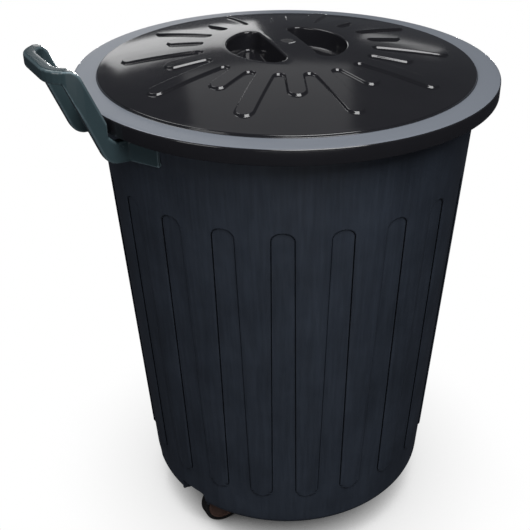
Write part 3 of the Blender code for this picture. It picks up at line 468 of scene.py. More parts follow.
def foot(name, grow, low, high, round_edge):
    """The front foot's bent slot shape between two heights."""
    half = FOOT_HALF + grow
    end = (FOOT_ARC * cos(FOOT_SWING), FOOT_ARC * sin(FOOT_SWING))
    outline = arc((0, 0), FOOT_ARC + half, -FOOT_SWING, FOOT_SWING, 24)
    outline += arc(end, half, FOOT_SWING, FOOT_SWING + pi, 16)[1:-1]
    outline += arc((0, 0), FOOT_ARC - half, FOOT_SWING, -FOOT_SWING, 20)
    outline += arc((end[0], -end[1]), half, pi - FOOT_SWING, tau - FOOT_SWING, 16)[1:-1]
    return plate(name, outline, low, high, Matrix.Translation((AXIS_X, 0, 0)), round_edge)


for side in (1, -1):
    ends = (WELL_TRIM_TOP, BASE_HEIGHT)
    rings = [ring(circle(wall_radius(end) - WELL_TRIM_INSET, 84), end, AXIS_X) for end in ends]
    core = loft("core", rings, [Vector((AXIS_X, 0, end)) for end in ends])
    walls = joined(well("well_walls", side, WALL), shown("core", core), "INTERSECT")
    joined(bin_moulding, walls, "UNION")
joined(bin_moulding, foot("foot", 0, 0, BASE_HEIGHT + WALL / 2, FOOT_EDGE), "UNION")
joined(bin_moulding, foot("foot_hollow", -WALL, WALL, BASE_HEIGHT + 2 * WALL, 0), "DIFFERENCE")
for side in (1, -1):
    facing = Matrix(((1, 0, 0, AXLE_X), (0, 0, side, 0), (0, 1, 0, 0), (0, 0, 0, 1)))
    outline = arc((0, AXLE_Z), LUG_HALF, pi, tau, 20)
    outline += [(LUG_HALF, WELL_HEIGHT + WALL), (-LUG_HALF, WELL_HEIGHT + WALL)]
    lug = plate("lug", outline, LUG_INNER_Y, LUG_INNER_Y + LUG_THICKNESS, facing)
    joined(bin_moulding, joined(well("well_space", side, 0), lug, "DIFFERENCE"), "DIFFERENCE")
axle_line = [Vector((AXLE_X, y, AXLE_Z)) for y in (-WELL_OUTER_Y + CLEARANCE, WELL_OUTER_Y - CLEARANCE)]
joined(bin_moulding, rod("axle_hole", BORE, *axle_line), "DIFFERENCE")
for middle, way in zip(screw_middles, screw_ways):
    reach = way * SCREW_HOLE_HALF
    hole = rod("screw_hole", SCREW_RADIUS + CLEARANCE, middle - reach, middle + reach, sides=24)
    joined(bin_moulding, hole, "DIFFERENCE")


def finish(obj, mat, body, slot, *nodes, sharp=30):
    """Shades a piece smooth but for edges sharper than an angle in degrees, gives it its material and
    the body it rides on, and hides the nodes it stands for. The slot is not used."""
    obj.data.shade_smooth()
    obj.data.set_sharp_from_angle(angle=radians(sharp))
    obj.data.materials.clear()
    obj.data.materials.append(mat)
    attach(obj, body)
    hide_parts(*nodes)


finish(bin_moulding, bin_plastic, "root", "bin_plastic", "bin_body")

# Transport handle. One thick moulding in slate teal polypropylene, satin, with soft edges all round.
# Its wedge-shaped feet lie against the wall below the lid and are screwed on from inside.
HANDLE_VOXEL = 0.9 * MM
GATE_MARK_RADIUS = 2.4 * MM
GATE_MARK_GROOVE = 0.6 * MM
GATE_MARK_DEPTH = 0.45 * MM
GATE_MARK_BEYOND = 3 * MM
ARM_OUTER_Y = 56 * MM
ARM_REACH = 231 * MM
ARM_MARK_HEIGHT = 565 * MM


def mark_edges(obj, name, flat, sharp):
    """Stores how sharply each point of a mesh stands out, from 0 at one angle to 1 at another."""
    solid = bmesh.new()
    solid.from_mesh(obj.data)
    bends = []
    for vert in solid.verts:
        angles = [edge.calc_face_angle_signed(0) for edge in vert.link_edges]
        bends.append(max(sum(angles) / len(angles), 0))
    links = [[edge.other_vert(vert).index for edge in vert.link_edges] for vert in solid.verts]
    bends = [(bend + sum(bends[i] for i in near)) / (1 + len(near)) for bend, near in zip(bends, links)]
    solid.free()
    marks = obj.data.attributes.new(name, "FLOAT", "POINT")
    marks.data.foreach_set("value", [min(max((bend - flat) / (sharp - flat), 0), 1) for bend in bends])


cad_handle = bmesh.new()
cad_handle.from_mesh(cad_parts["transport_handle"].data)
bmesh.ops.remove_doubles(cad_handle, verts=cad_handle.verts, dist=0.01 * MM)
handle_moulding = written("handle_moulding", cad_handle)
remesh = handle_moulding.modifiers.new("even", "REMESH")
remesh.mode = "VOXEL"
remesh.voxel_size = HANDLE_VOXEL
relax = handle_moulding.modifiers.new("soft_edges", "SMOOTH")
relax.factor = 0.5
relax.iterations = 4
settled(handle_moulding)
mark_edges(handle_moulding, "edge_wear_and_highlight", flat=0.08, sharp=0.30)
for side in (1, -1):
    middle = Vector((AXIS_X - ARM_REACH, side * (ARM_OUTER_Y - GATE_MARK_DEPTH), ARM_MARK_HEIGHT))
    beyond = Vector((0, side * GATE_MARK_BEYOND, 0))
    groove = rod("gate_mark", GATE_MARK_RADIUS + GATE_MARK_GROOVE, middle, middle + beyond, sides=32)
    pip = rod("gate_pip", GATE_MARK_RADIUS, middle - beyond, middle + beyond * 2, sides=32)
    joined(handle_moulding, joined(groove, pip, "DIFFERENCE"), "DIFFERENCE")
# The same plastic in slate teal, from a finer mould: a low sheen along its round edges, which are paler
# and smoother, rubbed by hands and with a painted highlight. The grain is drawn at 0.9 mm.
handle_plastic = moulded_plastic("polypropylene_eroded_slate_teal", "#2b383c", "#364448", roughness=0.20,
                                 grain=0.9 * MM, relief=0.04 * MM)
edge_wear_and_highlight = node(handle_plastic.node_tree, "ShaderNodeAttribute", {"attribute_name": "edge_wear_and_highlight"})
refinish_with_painted_light(handle_plastic, edge_wear_and_highlight.outputs["Fac"], "#67777d", roughness=0.18)
finish(handle_moulding, handle_plastic, "root", "handle_plastic", "transport_handle", sharp=60)

# Handle screws. Four zinc-plated steel screws with pan heads and a cross recess, driven outwards from
# inside the bin into the handle's feet. One head stands against the wall at each.
SCREW_END_GAP = 0.3 * MM
SCREW_TIP_ROUND = 0.6 * MM
SCREW_HEAD_RADIUS = 4 * MM
SCREW_HEAD_HEIGHT = 1.8 * MM
SCREW_HEAD_EDGE = 0.2 * MM
RECESS_HALF = 2.1 * MM
RECESS_WIDTH = 0.55 * MM
RECESS_DEPTH = 1.1 * MM


def turned(name, profile, steps=96):
    """A solid turned about Z from (radius, height) points that end on the axis or close in a loop."""
    on_axis = profile[0][0] == 0 and profile[-1][0] == 0
    rings = [ring(circle(radius, steps), height) for radius, height in profile if radius]
    if on_axis:
        mesh = loft(name, rings, [Vector((0, 0, profile[end][1])) for end in (0, -1)])
    else:
        mesh = loft(name, rings + rings[:1])
    closed(mesh, 0.001 * MM)
    return shown(name, mesh)


def steel(name, colour, roughness, brush_scale, brush_depth):
    """Bright metal with fine drawn or tumbled marks, which spread its highlights. The real marks are
    hundredths of a millimetre apart, too fine to show, so they are drawn coarser."""
    mat, tree, shader = new_material(name)
    place = node(tree, "ShaderNodeTexCoord").outputs["Object"]
    grime = node(tree, "ShaderNodeTexNoise", {"Vector": place, "Scale": 1 / (3 * MM), "Detail": 4.0})
    dulled = node(tree, "ShaderNodeMapRange",
                  {"Value": grime, "From Min": 0.3, "From Max": 0.8, "To Max": 0.6})
    tone = node(tree, "ShaderNodeMix",
                {"data_type": "RGBA", "Factor": dulled, 6: linear(colour), 7: linear("#6e6f70")})
    brushed = node(tree, "ShaderNodeTexNoise", {"Vector": place, "Scale": 1 / brush_scale, "Detail": 2.0})
    bump = node(tree, "ShaderNodeBump", {"Strength": 0.5, "Distance": brush_depth, "Height": brushed})
    node(tree, shader, {"Metallic": 1.0, "Roughness": roughness, "Base Color": tone.outputs[2],
                        "Normal": bump})
    return mat


def screw_rows(tree, given):
    """Sets one screw on each point, turned to face along the point's direction."""
    source = node(tree, "GeometryNodeObjectInfo", {"Object": given["Screw"]}).outputs["Geometry"]
    facing = node(tree, "GeometryNodeInputNamedAttribute",
                  {"data_type": "FLOAT_VECTOR", "Name": "facing"})
    turn = node(tree, "FunctionNodeAlignRotationToVector", {"axis": "Z", "Vector": facing})
    return node(tree, "GeometryNodeInstanceOnPoints",
                {"Points": given["Geometry"], "Instance": source, "Rotation": turn})


# A node's box is square to the axes, so a screw that lies aslant fills it with its head's width too.
screw_lengths = [abs(way.x) * (high[0] - low[0]) + abs(way.y) * (high[1] - low[1])
                 - 4 * SCREW_HEAD_RADIUS * abs(way.x * way.y)
                 for (low, high), way in zip(screw_boxes, screw_ways)]
tip = min(screw_lengths) / 2 - SCREW_END_GAP
head_low = -min(screw_lengths) / 2 + SCREW_END_GAP
head_top = head_low + SCREW_HEAD_HEIGHT
profile = [(0, tip)] + outer_corner(SCREW_RADIUS, tip, SCREW_TIP_ROUND, 4) + [(SCREW_RADIUS, head_top)]
profile += outer_corner(SCREW_HEAD_RADIUS, head_top, SCREW_HEAD_EDGE, 3)
profile += [(SCREW_HEAD_RADIUS * share, head_low + rise * MM)
            for share, rise in ((1, 0.9), (0.86, 0.3), (0.6, 0.05), (0.3, 0), (0, 0))]
screw_pattern = turned("screw_pattern", profile, 48)
for angle in (0, pi / 2):
    recess = bmesh.new()
    bmesh.ops.create_cube(recess, size=1, matrix=Matrix.Rotation(angle, 4, "Z")
                          @ Matrix.Translation((0, 0, head_low))
                          @ Matrix.Diagonal((RECESS_HALF * 2, RECESS_WIDTH * 2, RECESS_DEPTH * 2, 1)))
    joined(screw_pattern, written("recess", recess), "DIFFERENCE")
screw_points = bpy.data.meshes.new("handle_screws")
screw_points.from_pydata(screw_middles, [], [])
facings = screw_points.attributes.new("facing", "FLOAT_VECTOR", "POINT")
for mark, way in zip(facings.data, screw_ways):
    mark.vector = way
# Zinc plate on tumbled steel: a bright, slightly milky grey with a soft-edged highlight. The marks
# are drawn at 0.6 mm.
zinc = steel("zinc_plated_steel", "#c4c5c6", roughness=0.32, brush_scale=0.6 * MM, brush_depth=0.02 * MM)
handle_screws = shown("handle_screws", screw_points)
run_nodes(handle_screws, screw_rows, {"Screw": screw_pattern, "Material": zinc})
bpy.data.objects.remove(screw_pattern)
finish(handle_screws, zinc, "root", "screw_steel", *SCREW_NODES)

# Axle. A cold drawn steel bar with chamfered ends, pushed through the two lugs. It doesn't turn, and
# the wheels run on it.
AXLE_CHAMFER = 0.8 * MM
half = (axle_high[1] - axle_low[1]) / 2
end_radius = AXLE_RADIUS - AXLE_CHAMFER


def on_axle(obj, side):
    """Lays a piece that was turned about Z on the axle's line, facing outwards on its side."""
    obj.data.transform(Matrix.Translation((AXLE_X, 0, AXLE_Z)) @ Matrix.Rotation(-side * pi / 2, 4, "X"))
    return obj


axle_bar = turned("axle_bar", [(0, half), (end_radius, half), (AXLE_RADIUS, half - AXLE_CHAMFER),
                               (AXLE_RADIUS, AXLE_CHAMFER - half), (end_radius, -half), (0, -half)])
# Steel drawn cold through a die: a bright grey bar with one long, fairly sharp highlight. Its marks
# are drawn at 0.8 mm.
drawn_steel = steel("drawn_steel", "#b9babb", roughness=0.28, brush_scale=0.8 * MM,
                    brush_depth=0.015 * MM)
finish(on_axle(axle_bar, 1), drawn_steel, "root", "axle_steel", "axle")

# Axle caps. Two black nylon mouldings with a domed face and a blind bore, pushed over the bar's ends
# to keep the wheels on it.
CAP_RADIUS = 7.5 * MM
CAP_DOME = 1.2 * MM
CAP_END_WALL = 1.5 * MM


def reach_of(name):
    """How far a node's nearer and farther ends are from the bin's middle plane."""
    low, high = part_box(name)
    return sorted((abs(low[1]), abs(high[1])))


# Nylon from a fine mould: near black with a low, even sheen. The grain is drawn at 0.5 mm.
cap_nylon = moulded_plastic("nylon_black", "#17171a", "#242427", roughness=0.38, grain=0.5 * MM,
                            relief=0.02 * MM)
for side, word in ((1, "left"), (-1, "right")):
    cap_low, cap_high = reach_of("axle_cap_" + word)
    bore_end = cap_high - CAP_END_WALL
    profile = [(0, cap_high)] + outer_corner(CAP_RADIUS, cap_high, CAP_DOME, 8)
    profile += [(CAP_RADIUS, cap_low), (BORE, cap_low), (BORE, bore_end), (0, bore_end)]
    cap = on_axle(turned("axle_push_cap_" + word, profile), side)
    finish(cap, cap_nylon, "root", "cap_plastic", "axle_cap_" + word)

# Wheels. Each is a dished hub in dark brown polypropylene, ribbed on its inner side, with a black
# rubber tyre moulded on its rim and keyed to it by a rib. They turn freely on the bar.
TYRE_DEPTH = 5 * MM
TYRE_EDGE = 1.6 * MM
TYRE_RIB = 1.2 * MM
TYRE_RIB_HALF = 2.5 * MM
HUB_WEB = 2.8 * MM
HUB_RIM = 2.6 * MM
HUB_EDGE = 0.4 * MM
HUB_BOSS = 9.5 * MM
HUB_BOSS_FACE = 1.5 * MM
HUB_DISH = 0.9 * MM
HUB_DISH_MARGIN = 3 * MM
HUB_RECESS_CHAMFER = 0.3 * MM
HUB_RIBS = 6
HUB_RIB_WIDTH = 2.4 * MM
HUB_RIB_OVERLAP = 1 * MM


def hub_ribs(tree, given):
    """Sets ribs round a turned hub, on its inner side."""
    block = node(tree, "ShaderNodeCombineXYZ",
                 {"X": given["Length"], "Y": given["Width"], "Z": given["Height"]})
    rib = node(tree, "GeometryNodeMeshCube", {"Size": block})
    ring = node(tree, "GeometryNodeMeshCircle",
                {"Vertices": given["Ribs"], "Radius": given["Middle Radius"]})
    lift = node(tree, "ShaderNodeCombineXYZ", {"Z": given["Middle Depth"]})
    raised = node(tree, "GeometryNodeSetPosition", {"Geometry": ring, "Offset": lift})
    here = node(tree, "GeometryNodeInputPosition")
    outward = node(tree, "ShaderNodeVectorMath", {"operation": "MULTIPLY", 0: here, 1: (1, 1, 0)})
    turn = node(tree, "FunctionNodeAlignRotationToVector", {"axis": "X", "Vector": outward})
    ribs = node(tree, "GeometryNodeInstanceOnPoints",
                {"Points": raised, "Instance": rib, "Rotation": turn})
    both = node(tree, "GeometryNodeJoinGeometry")
    for source in (given["Geometry"], ribs.outputs[0]):
        tree.links.new(source, both.inputs[0])
    return both


# Dark brown polypropylene from an eroded mould: a warm satin brown with one broad, faint highlight.
# The grain is drawn at 0.8 mm.
hub_plastic = moulded_plastic("polypropylene_dark_brown", "#4b3831", "#5a443c", roughness=0.40,
                              grain=0.8 * MM, relief=0.03 * MM)
# Moulded rubber: a dull black that takes hardly any highlight. The grain is drawn at 0.5 mm.
tyre_rubber = moulded_plastic("rubber_black", "#0f0f10", "#222223", roughness=0.70, grain=0.5 * MM,
                              relief=0.05 * MM, gloss=0.3)
for side, word in ((1, "left"), (-1, "right")):
    tyre_low, tyre_high = reach_of("wheel_tyre_" + word)
    low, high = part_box("wheel_tyre_" + word)
    wheel_radius = (high[2] - low[2]) / 2
    hub_radius = wheel_radius - TYRE_DEPTH
    bore = hub_radius + CLEARANCE
    middle = (tyre_low + tyre_high) / 2
    profile = outer_corner(wheel_radius, tyre_high, TYRE_EDGE, 8)
    profile += arc((wheel_radius - TYRE_EDGE, tyre_low + TYRE_EDGE), TYRE_EDGE, 0, -pi / 2, 8)
    rib_low, rib_high, rib_radius = middle - TYRE_RIB_HALF, middle + TYRE_RIB_HALF, bore - TYRE_RIB
    profile += [(bore, tyre_low), (bore, rib_low), (rib_radius, rib_low),
                (rib_radius, rib_high), (bore, rib_high), (bore, tyre_high)]
    tyre = on_axle(turned("tyre_" + word, profile, 128), side)
    finish(tyre, tyre_rubber, "wheel_" + word, "tyre_rubber", "wheel_tyre_" + word)
    boss_end = reach_of("wheel_hub_" + word)[0]
    recess = CAP_RADIUS + CLEARANCE
    recess_floor = reach_of("axle_cap_" + word)[0] - CLEARANCE
    groove = TYRE_RIB_HALF + CLEARANCE
    groove_radius = hub_radius - TYRE_RIB
    rim_inner = groove_radius - HUB_RIM
    dish_inner = HUB_BOSS + HUB_BOSS_FACE
    dish_outer = hub_radius - HUB_DISH_MARGIN
    profile = [(recess + HUB_RECESS_CHAMFER, tyre_high), (dish_inner - HUB_DISH, tyre_high),
               (dish_inner, tyre_high - HUB_DISH), (dish_outer, tyre_high - HUB_DISH),
               (dish_outer + HUB_DISH, tyre_high), (hub_radius - HUB_EDGE, tyre_high),
               (hub_radius, tyre_high - HUB_EDGE), (hub_radius, middle + groove),
               (groove_radius, middle + groove), (groove_radius, middle - groove),
               (hub_radius, middle - groove), (hub_radius, tyre_low), (rim_inner, tyre_low),
               (rim_inner, tyre_high - HUB_WEB), (HUB_BOSS, tyre_high - HUB_WEB), (HUB_BOSS, boss_end),
               (BORE, boss_end), (BORE, recess_floor), (recess, recess_floor),
               (recess, tyre_high - HUB_RECESS_CHAMFER)]
    hub = turned("hub_" + word, profile)
    run_nodes(hub, hub_ribs, {
        "Ribs": HUB_RIBS, "Middle Radius": (HUB_BOSS + rim_inner) / 2, "Middle Depth": middle,
        "Length": rim_inner - HUB_BOSS + HUB_RIB_OVERLAP, "Width": HUB_RIB_WIDTH,
        "Height": tyre_high - tyre_low - HUB_WEB, "Material": hub_plastic})
    finish(on_axle(hub, side), hub_plastic, "wheel_" + word, "hub_plastic", "wheel_hub_" + word)

# Lid. One moulding in charcoal polypropylene: a polished dome with a raised crown of rays, a grained
# flat border, a skirt that laps the rim, and two finger wells with a grip bar between them.
lid_low, lid_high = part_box("lid")
LID_RADIUS = (lid_high[0] - lid_low[0]) / 2
SKIRT_BOTTOM = lid_low[2]
BORDER_HEIGHT = SKIRT_BOTTOM + 17.5 * MM
BORDER_EDGE_ROUND = 2.3 * MM
SKIRT_LIP_ROUND = 1.0 * MM
LID_SHEET = 2.5 * MM
DOME_RADIUS = 216.5 * MM
DOME_STEP = 3 * MM
DOME_STEP_ROUND = 1.6 * MM
DOME_FOOT_ROUND = 1.2 * MM
DOME_RISE = 23 * MM
CROWN_RISE = 2.5 * MM
RAY_PAIRS = 10
RAY_PITCH = pi / RAY_PAIRS
CROWN_TURN = radians(-134.5)
CROWN_RADIUS = 98 * MM
RAY_HALF = 10 * MM
LONG_RAY = 190 * MM
SHORT_RAY = 146 * MM
CROWN_EDGE = 1.2 * MM
NOTCH_MIDDLE = (CROWN_RADIUS - RAY_HALF) / (1 - sin(RAY_PITCH / 2))
NOTCH_RADIUS = NOTCH_MIDDLE - CROWN_RADIUS
NOTCH_ALONG = NOTCH_MIDDLE * cos(RAY_PITCH / 2)
GRIP_TURN = radians(-11)
GRIP_HALF = 18.5 * MM
WELL_RADIUS = 69 * MM
WELL_ROUND = 13 * MM
WELL_CORNER_X = GRIP_HALF + WELL_ROUND
WELL_CORNER_Y = sqrt((WELL_RADIUS - WELL_ROUND) ** 2 - WELL_CORNER_X ** 2)
WELL_DEPTH = 25 * MM
WELL_DRAW = 2.8 * MM
WELL_FLOOR_ROUND = 4 * MM
WELL_LIP = 2.4 * MM
DIMPLE_RADIUS = 12 * MM
DIMPLE_DEPTH = 2 * MM
GRID = 4.5 * MM
GRID_GAP = 1.5 * MM
RING_STEPS = 360


def turned_point(point, angle):
    """A flat point turned about the lid's axis."""
    x, y = point
    return (x * cos(angle) - y * sin(angle), x * sin(angle) + y * cos(angle))


def ease(share):
    """A smooth step from 0 to 1."""
    share = min(max(share, 0), 1)
    return share * share * (3 - 2 * share)


def crown_loop(grow):
    """The crown's outline moved outwards: rays with round ends, and round notches between them."""
    points = []
    for i in range(RAY_PAIRS * 2):
        reach, steps = (SHORT_RAY, 8) if i % 2 else (LONG_RAY, 20)
        end = reach - RAY_HALF
        half = RAY_HALF + grow
        side = spread(NOTCH_ALONG, end, steps)
        ray = [(along, -half) for along in side[:-1]]
        ray += arc((end, 0), half, -pi / 2, pi / 2, 12)
        ray += [(along, half) for along in reversed(side[:-1])]
        middle = turned_point((NOTCH_MIDDLE, 0), RAY_PITCH / 2)
        ray += arc(middle, NOTCH_RADIUS - grow, -pi / 2, RAY_PITCH - pi * 3 / 2, 8)[1:-1]
        points += [turned_point(point, CROWN_TURN + i * RAY_PITCH) for point in ray]
    return points


def crown_distance(x, y):
    """How far a point lies outside the crown, negative inside."""
    radius = hypot(x, y)
    turn = (atan2(y, x) - CROWN_TURN) % (2 * RAY_PITCH)
    gap = turn % RAY_PITCH - RAY_PITCH / 2
    if radius * cos(gap) < NOTCH_ALONG:
        return NOTCH_RADIUS - hypot(radius * cos(gap) - NOTCH_MIDDLE, radius * sin(gap))
    distances = []
    for heading, reach in ((0, LONG_RAY), (RAY_PITCH, SHORT_RAY), (2 * RAY_PITCH, LONG_RAY)):
        beyond = max(radius * cos(turn - heading) - (reach - RAY_HALF), 0)
        distances.append(hypot(beyond, radius * sin(turn - heading)) - RAY_HALF)
    return min(distances)


def well_loop(side, grow):
    """A finger well's half-moon outline moved outwards."""
    swing = atan2(WELL_CORNER_Y, WELL_CORNER_X)
    corner = WELL_ROUND + grow
    points = arc((0, 0), WELL_RADIUS + grow, -swing, swing, 30)
    points += arc((WELL_CORNER_X, WELL_CORNER_Y), corner, swing, pi, 10)[1:]
    points += [(GRIP_HALF - grow, y) for y in spread(WELL_CORNER_Y, -WELL_CORNER_Y, 14)[1:-1]]
    points += arc((WELL_CORNER_X, -WELL_CORNER_Y), corner, pi, tau - swing, 10)[:-1]
    turn = GRIP_TURN + (pi if side < 0 else 0)
    return [turned_point(point, turn) for point in points]


def near_well(x, y, margin):
    """Whether a point is in a finger well, or within a margin of one."""
    across, _ = turned_point((x, y), -GRIP_TURN)
    return hypot(x, y) < WELL_RADIUS + margin and abs(across) > GRIP_HALF - margin


def in_well(x, y):
    """Whether a point is inside a finger well's lip line, with its round corners."""
    across, along = turned_point((x, y), -GRIP_TURN)
    corner_x = abs(across) - WELL_CORNER_X
    corner_y = abs(along) - WELL_CORNER_Y
    past = corner_y > 0 and (corner_x < 0 or corner_y * WELL_CORNER_X > corner_x * WELL_CORNER_Y)
    return near_well(x, y, WELL_LIP) and (not past or hypot(corner_x, corner_y) < WELL_ROUND + WELL_LIP)


def lid_height(x, y, rise):
    """Height of the lid's top at a flat point, for a given rise of the crown there."""
    radius = hypot(x, y)
    share = min(radius / DOME_RADIUS, 1)
    dip = DIMPLE_DEPTH * (1 - ease(radius / DIMPLE_RADIUS))
    return BORDER_HEIGHT + DOME_STEP + DOME_RISE * (1 - share * share) + rise - dip


def lid_top():
    """The dome with its crown as one fine sheet, holed where the finger wells go. Loops of points
    follow every edge, and a grid fills what lies clear of them."""
    flat = []
    heights = []
    edges = []

    def add_loop(points, rise):
        """A closed line that the sheet's edges keep to."""
        start = len(flat)
        for i, (x, y) in enumerate(points):
            flat.append(Vector((x, y)))
            heights.append(lid_height(x, y, rise))
            edges.append((start + i, start + (i + 1) % len(points)))

    add_loop(circle(DOME_RADIUS, RING_STEPS), 0)
    # Lines up the crown's rounded edge, with two more beside its foot and two beside its top.
    for step in range(-2, 11):
        add_loop(crown_loop(CROWN_EDGE * (1 - step / 4)), CROWN_RISE * ease(step / 8))
    for side in (1, -1):
        add_loop(well_loop(side, WELL_LIP), CROWN_RISE)
    for radius in spread(0, DIMPLE_RADIUS, 5)[1:]:
        add_loop(circle(radius, 48), CROWN_RISE)
    for row in range(int(DOME_RADIUS / GRID)):
        radius = row * GRID
        count = max(1, round(tau * radius / GRID))
        for i in range(count):
            angle = tau * (i + 0.5 * (row % 2)) / count
            x, y = radius * cos(angle), radius * sin(angle)
            clear = crown_distance(x, y)
            on_loop = abs(clear) < CROWN_EDGE * 2.5 or 0 < radius < DIMPLE_RADIUS + GRID_GAP
            if on_loop or near_well(x, y, WELL_LIP + GRID_GAP) or radius > DOME_RADIUS - GRID_GAP:
                continue
            flat.append(Vector((x, y)))
            heights.append(lid_height(x, y, CROWN_RISE if clear < 0 else 0))
    points, _, faces, sources, _, _ = delaunay_2d_cdt(flat, edges, [], 0, 1e-7)
    sheet = bmesh.new()
    verts = [sheet.verts.new((AXIS_X + point.x, point.y, heights[source[0]]))
             for point, source in zip(points, sources)]
    for face in faces:
        if not in_well(sum(points[i].x for i in face) / 3, sum(points[i].y for i in face) / 3):
            sheet.faces.new([verts[i] for i in face])
    return sheet


def lid_border():
    """Rings from the dome's edge over the step, the flat border and the rounded edge, down the skirt."""
    foot = DOME_RADIUS + DOME_STEP_ROUND + DOME_FOOT_ROUND
    profile = outer_corner(DOME_RADIUS + DOME_STEP_ROUND, BORDER_HEIGHT + DOME_STEP, DOME_STEP_ROUND, 5)
    profile += arc((foot, BORDER_HEIGHT + DOME_FOOT_ROUND), DOME_FOOT_ROUND, pi, pi * 3 / 2, 4)
    flat = spread(foot, LID_RADIUS - BORDER_EDGE_ROUND, 6)[1:-1]
    profile += [(radius, BORDER_HEIGHT) for radius in flat]
    profile += outer_corner(LID_RADIUS, BORDER_HEIGHT, BORDER_EDGE_ROUND, 6)
    profile += arc((LID_RADIUS - SKIRT_LIP_ROUND, SKIRT_BOTTOM + SKIRT_LIP_ROUND), SKIRT_LIP_ROUND,
                   0, -pi / 2, 4)
    rings = [ring(circle(radius, RING_STEPS), height, AXIS_X) for radius, height in profile]
    return loft("border", rings)


def finger_well(side):
    """A finger well from its rolled lip, down its drawn-in wall, to its floor."""
    rings = []
    wall_foot = BORDER_HEIGHT + DOME_STEP + DOME_RISE + CROWN_RISE - WELL_DEPTH + WELL_FLOOR_ROUND
    for angle in spread(0, pi / 2, 6):
        drop = WELL_LIP * (1 - cos(angle))
        rings.append([Vector((AXIS_X + x, y, lid_height(x, y, CROWN_RISE) - drop))
                      for x, y in well_loop(side, WELL_LIP * (1 - sin(angle)))])
    top_ring = rings[-1]
    for share in spread(0, 1, 6)[1:]:
        rings.append([Vector((AXIS_X + x, y, start.z + (wall_foot - start.z) * share))
                      for (x, y), start in zip(well_loop(side, -WELL_DRAW * share), top_ring)])
    for angle in spread(0, pi / 2, 5)[1:]:
        grow = -WELL_DRAW - WELL_FLOOR_ROUND * (1 - cos(angle))
        height = wall_foot - WELL_FLOOR_ROUND * sin(angle)
        rings.append(ring(well_loop(side, grow), height, AXIS_X))
    last = rings[-1]
    middle = sum(last, Vector()) / len(last)
    for share in (0.25, 0.5, 0.75):
        rings.append([point.lerp(middle, share) for point in last])
    return loft("finger_well", rings, (None, middle))


lid_sheet = lid_top()
for skin in (lid_border(), finger_well(1), finger_well(-1)):
    lid_sheet.from_mesh(skin)
    bpy.data.meshes.remove(skin)
bmesh.ops.remove_doubles(lid_sheet, verts=lid_sheet.verts, dist=MERGE)
bmesh.ops.recalc_face_normals(lid_sheet, faces=lid_sheet.faces)
if sum(face.normal.z * face.calc_area() for face in lid_sheet.faces) < 0:
    bmesh.ops.reverse_faces(lid_sheet, faces=lid_sheet.faces)
lid_moulding = written("lid_moulding", lid_sheet)
thicken = lid_moulding.modifiers.new("sheet", "SOLIDIFY")
thicken.thickness = LID_SHEET
thicken.offset = -1
settled(lid_moulding)
# Polypropylene from a polished mould: a glossy charcoal dome that mirrors the lamps as soft patches,
# which waver with its flow marks. The little grain it has is drawn at 1.2 mm.
lid_plastic = moulded_plastic("polypropylene_polished_charcoal", "#18181b", "#1e1e21", roughness=0.12,
                              grain=1.2 * MM, relief=0.004 * MM)
# The mould was eroded at the flat border, so it is satin there; its paler colour is a painted sheen, so
# that it stands off the dome.
lid_tree = lid_plastic.node_tree
place = node(lid_tree, "ShaderNodeTexCoord").outputs["Object"]
level = node(lid_tree, "ShaderNodeVectorMath", {"operation": "MULTIPLY", 0: place, 1: (1, 1, 0)})
radius = node(lid_tree, "ShaderNodeVectorMath",
              {"operation": "DISTANCE", 0: level, 1: (AXIS_X, 0, 0)}).outputs["Value"]
height = node(lid_tree, "ShaderNodeSeparateXYZ", {0: place}).outputs["Z"]
outside = node(lid_tree, "ShaderNodeMapRange", {
    "Value": radius, "From Min": DOME_RADIUS + 2 * MM, "From Max": DOME_RADIUS + 3 * MM})
above = node(lid_tree, "ShaderNodeMapRange", {
    "Value": height, "From Min": BORDER_HEIGHT - 0.7 * MM, "From Max": BORDER_HEIGHT - 0.3 * MM})
border = node(lid_tree, "ShaderNodeMath", {"operation": "MULTIPLY", 0: outside, 1: above})
refinish_with_painted_light(lid_plastic, border.outputs[0], "#6b7078", roughness=0.36)
finish(lid_moulding, lid_plastic, "lid", "lid_plastic", "lid", sharp=40)

# Camera. It stands where the photograph was taken from, with the same lens, and looks down on the
# lid from the handle's side.
camera = bpy.data.cameras.new("camera")
camera.lens = 60.56
camera.sensor_width = 36
camera.shift_x = -0.0415
viewer = shown("camera", camera)
viewer.location = (AXIS_X - 0.5212, -0.8675, 0.9295)
viewer.rotation_euler = (radians(59.221), 0, radians(-31))
bpy.context.scene.camera = viewer

# Studio. A painted floor and a room that the camera sees as plain white, with a soft contact shadow.
# To all other rays the room is dim, and mirrors see the floor dim too, because the black plastics of
# the photograph mirror no white. Each lamp below then puts one soft highlight where the real one is.
FLOOR_HALF = 6
CONTACT_SHADOW = 300 * MM


def white_to_camera(tree, output, lit, white):
    """Shows white to the camera, and through anything clear, and the lit side to all other rays."""
    ray = node(tree, "ShaderNodeLightPath").outputs
    seen = node(tree, "ShaderNodeMath",
                {"operation": "MAXIMUM", 0: ray["Is Camera Ray"], 1: ray["Is Transmission Ray"]})
    both = node(tree, "ShaderNodeMixShader", {0: seen, 1: lit, 2: white})
    node(tree, tree.nodes[output], {"Surface": both})


corners = [(x * FLOOR_HALF, y * FLOOR_HALF, 0) for x, y in ((-1, -1), (1, -1), (1, 1), (-1, 1))]
floor_mesh = bpy.data.meshes.new("floor")
floor_mesh.from_pydata(corners, [], [(0, 1, 2, 3)])
floor = shown("floor", floor_mesh)
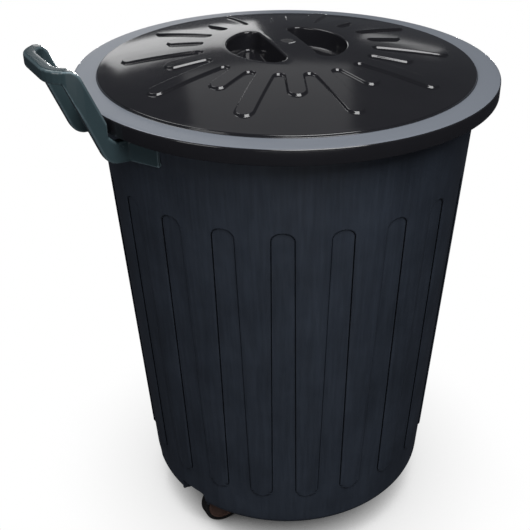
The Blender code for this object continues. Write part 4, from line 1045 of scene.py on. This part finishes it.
# Matt grey paint, which gives the eye nothing but the shadow: the halo is its wide, faint part, and
# the patch under the base its dark one.
floor_paint, paint_tree, paint = new_material("floor_paint")
node(paint_tree, paint, {"Base Color": linear("#6e6e70"), "Roughness": 0.5})
shade = node(paint_tree, "ShaderNodeAmbientOcclusion",
             {"samples": 32, "Distance": CONTACT_SHADOW}).outputs["AO"]
halo = node(paint_tree, "ShaderNodeMapRange",
            {"Value": shade, "From Min": 0.4, "From Max": 0.85, "To Min": 0.7})
patch = node(paint_tree, "ShaderNodeMapRange",
             {"Value": shade, "From Min": 0.16, "From Max": 0.56, "To Min": 0.02})
shadow = node(paint_tree, "ShaderNodeMath", {"operation": "MULTIPLY", 0: halo, 1: patch})
white = node(paint_tree, "ShaderNodeEmission", {"Color": linear("#ffffff"), "Strength": shadow})
dim = node(paint_tree, "ShaderNodeEmission", {"Color": linear("#3c3e44"), "Strength": 0.5})
mirrored = node(paint_tree, "ShaderNodeLightPath").outputs["Is Glossy Ray"]
lit = node(paint_tree, "ShaderNodeMixShader", {0: mirrored, 1: paint, 2: dim})
white_to_camera(paint_tree, "Material Output", lit, white)
floor_mesh.materials.append(floor_paint)

world = bpy.data.worlds.new("studio")
world.use_nodes = True
bpy.context.scene.world = world
room = node(world.node_tree, world.node_tree.nodes["Background"],
            {"Color": linear("#d4d9e4"), "Strength": 0.10})
backdrop = node(world.node_tree, "ShaderNodeBackground", {"Color": linear("#ffffff"), "Strength": 1.0})
white_to_camera(world.node_tree, "World Output", room, backdrop)

# Soft rectangular lamps that face the lid. Heading and elevation are in degrees, the rest in metres
# and watts. The camera's heading is -121.
aim = Vector((AXIS_X, 0, RIM_HEIGHT))
for name, heading, elevation, reach, width, height, power in (
        ("high_lamp", 130, 52, 1.7, 0.95, 0.8, 9),
        ("key_lamp", -100, 50, 2.4, 1.6, 1.6, 80),
        ("side_fill", -164, 12, 2.6, 0.9, 1.4, 12),
        ("low_fill", -112, -11, 2.4, 2.0, 0.2, 3),
        ("low_fill", 59, -11, 2.4, 2.0, 0.2, 44),
        ("lid_softbox", 62, 42, 2.4, 1.0, 1.3, 1.4),
        ("back_window", 72, 11, 2.4, 0.8, 0.6, 2.2),
        ("side_strip", 45, 11, 2.4, 0.40, 0.20, 0.15)):
    light = bpy.data.lights.new(name, "AREA")
    light.shape = "RECTANGLE"
    light.size = width
    light.size_y = height
    light.energy = power
    turn, rise = radians(heading), radians(elevation)
    away = Vector((cos(turn) * cos(rise), sin(turn) * cos(rise), sin(rise)))
    holder = shown(name, light)
    holder.location = aim + away * reach
    holder.rotation_euler = away.to_track_quat("Z", "Y").to_euler()

bpy.context.scene.view_settings.view_transform = "Standard"
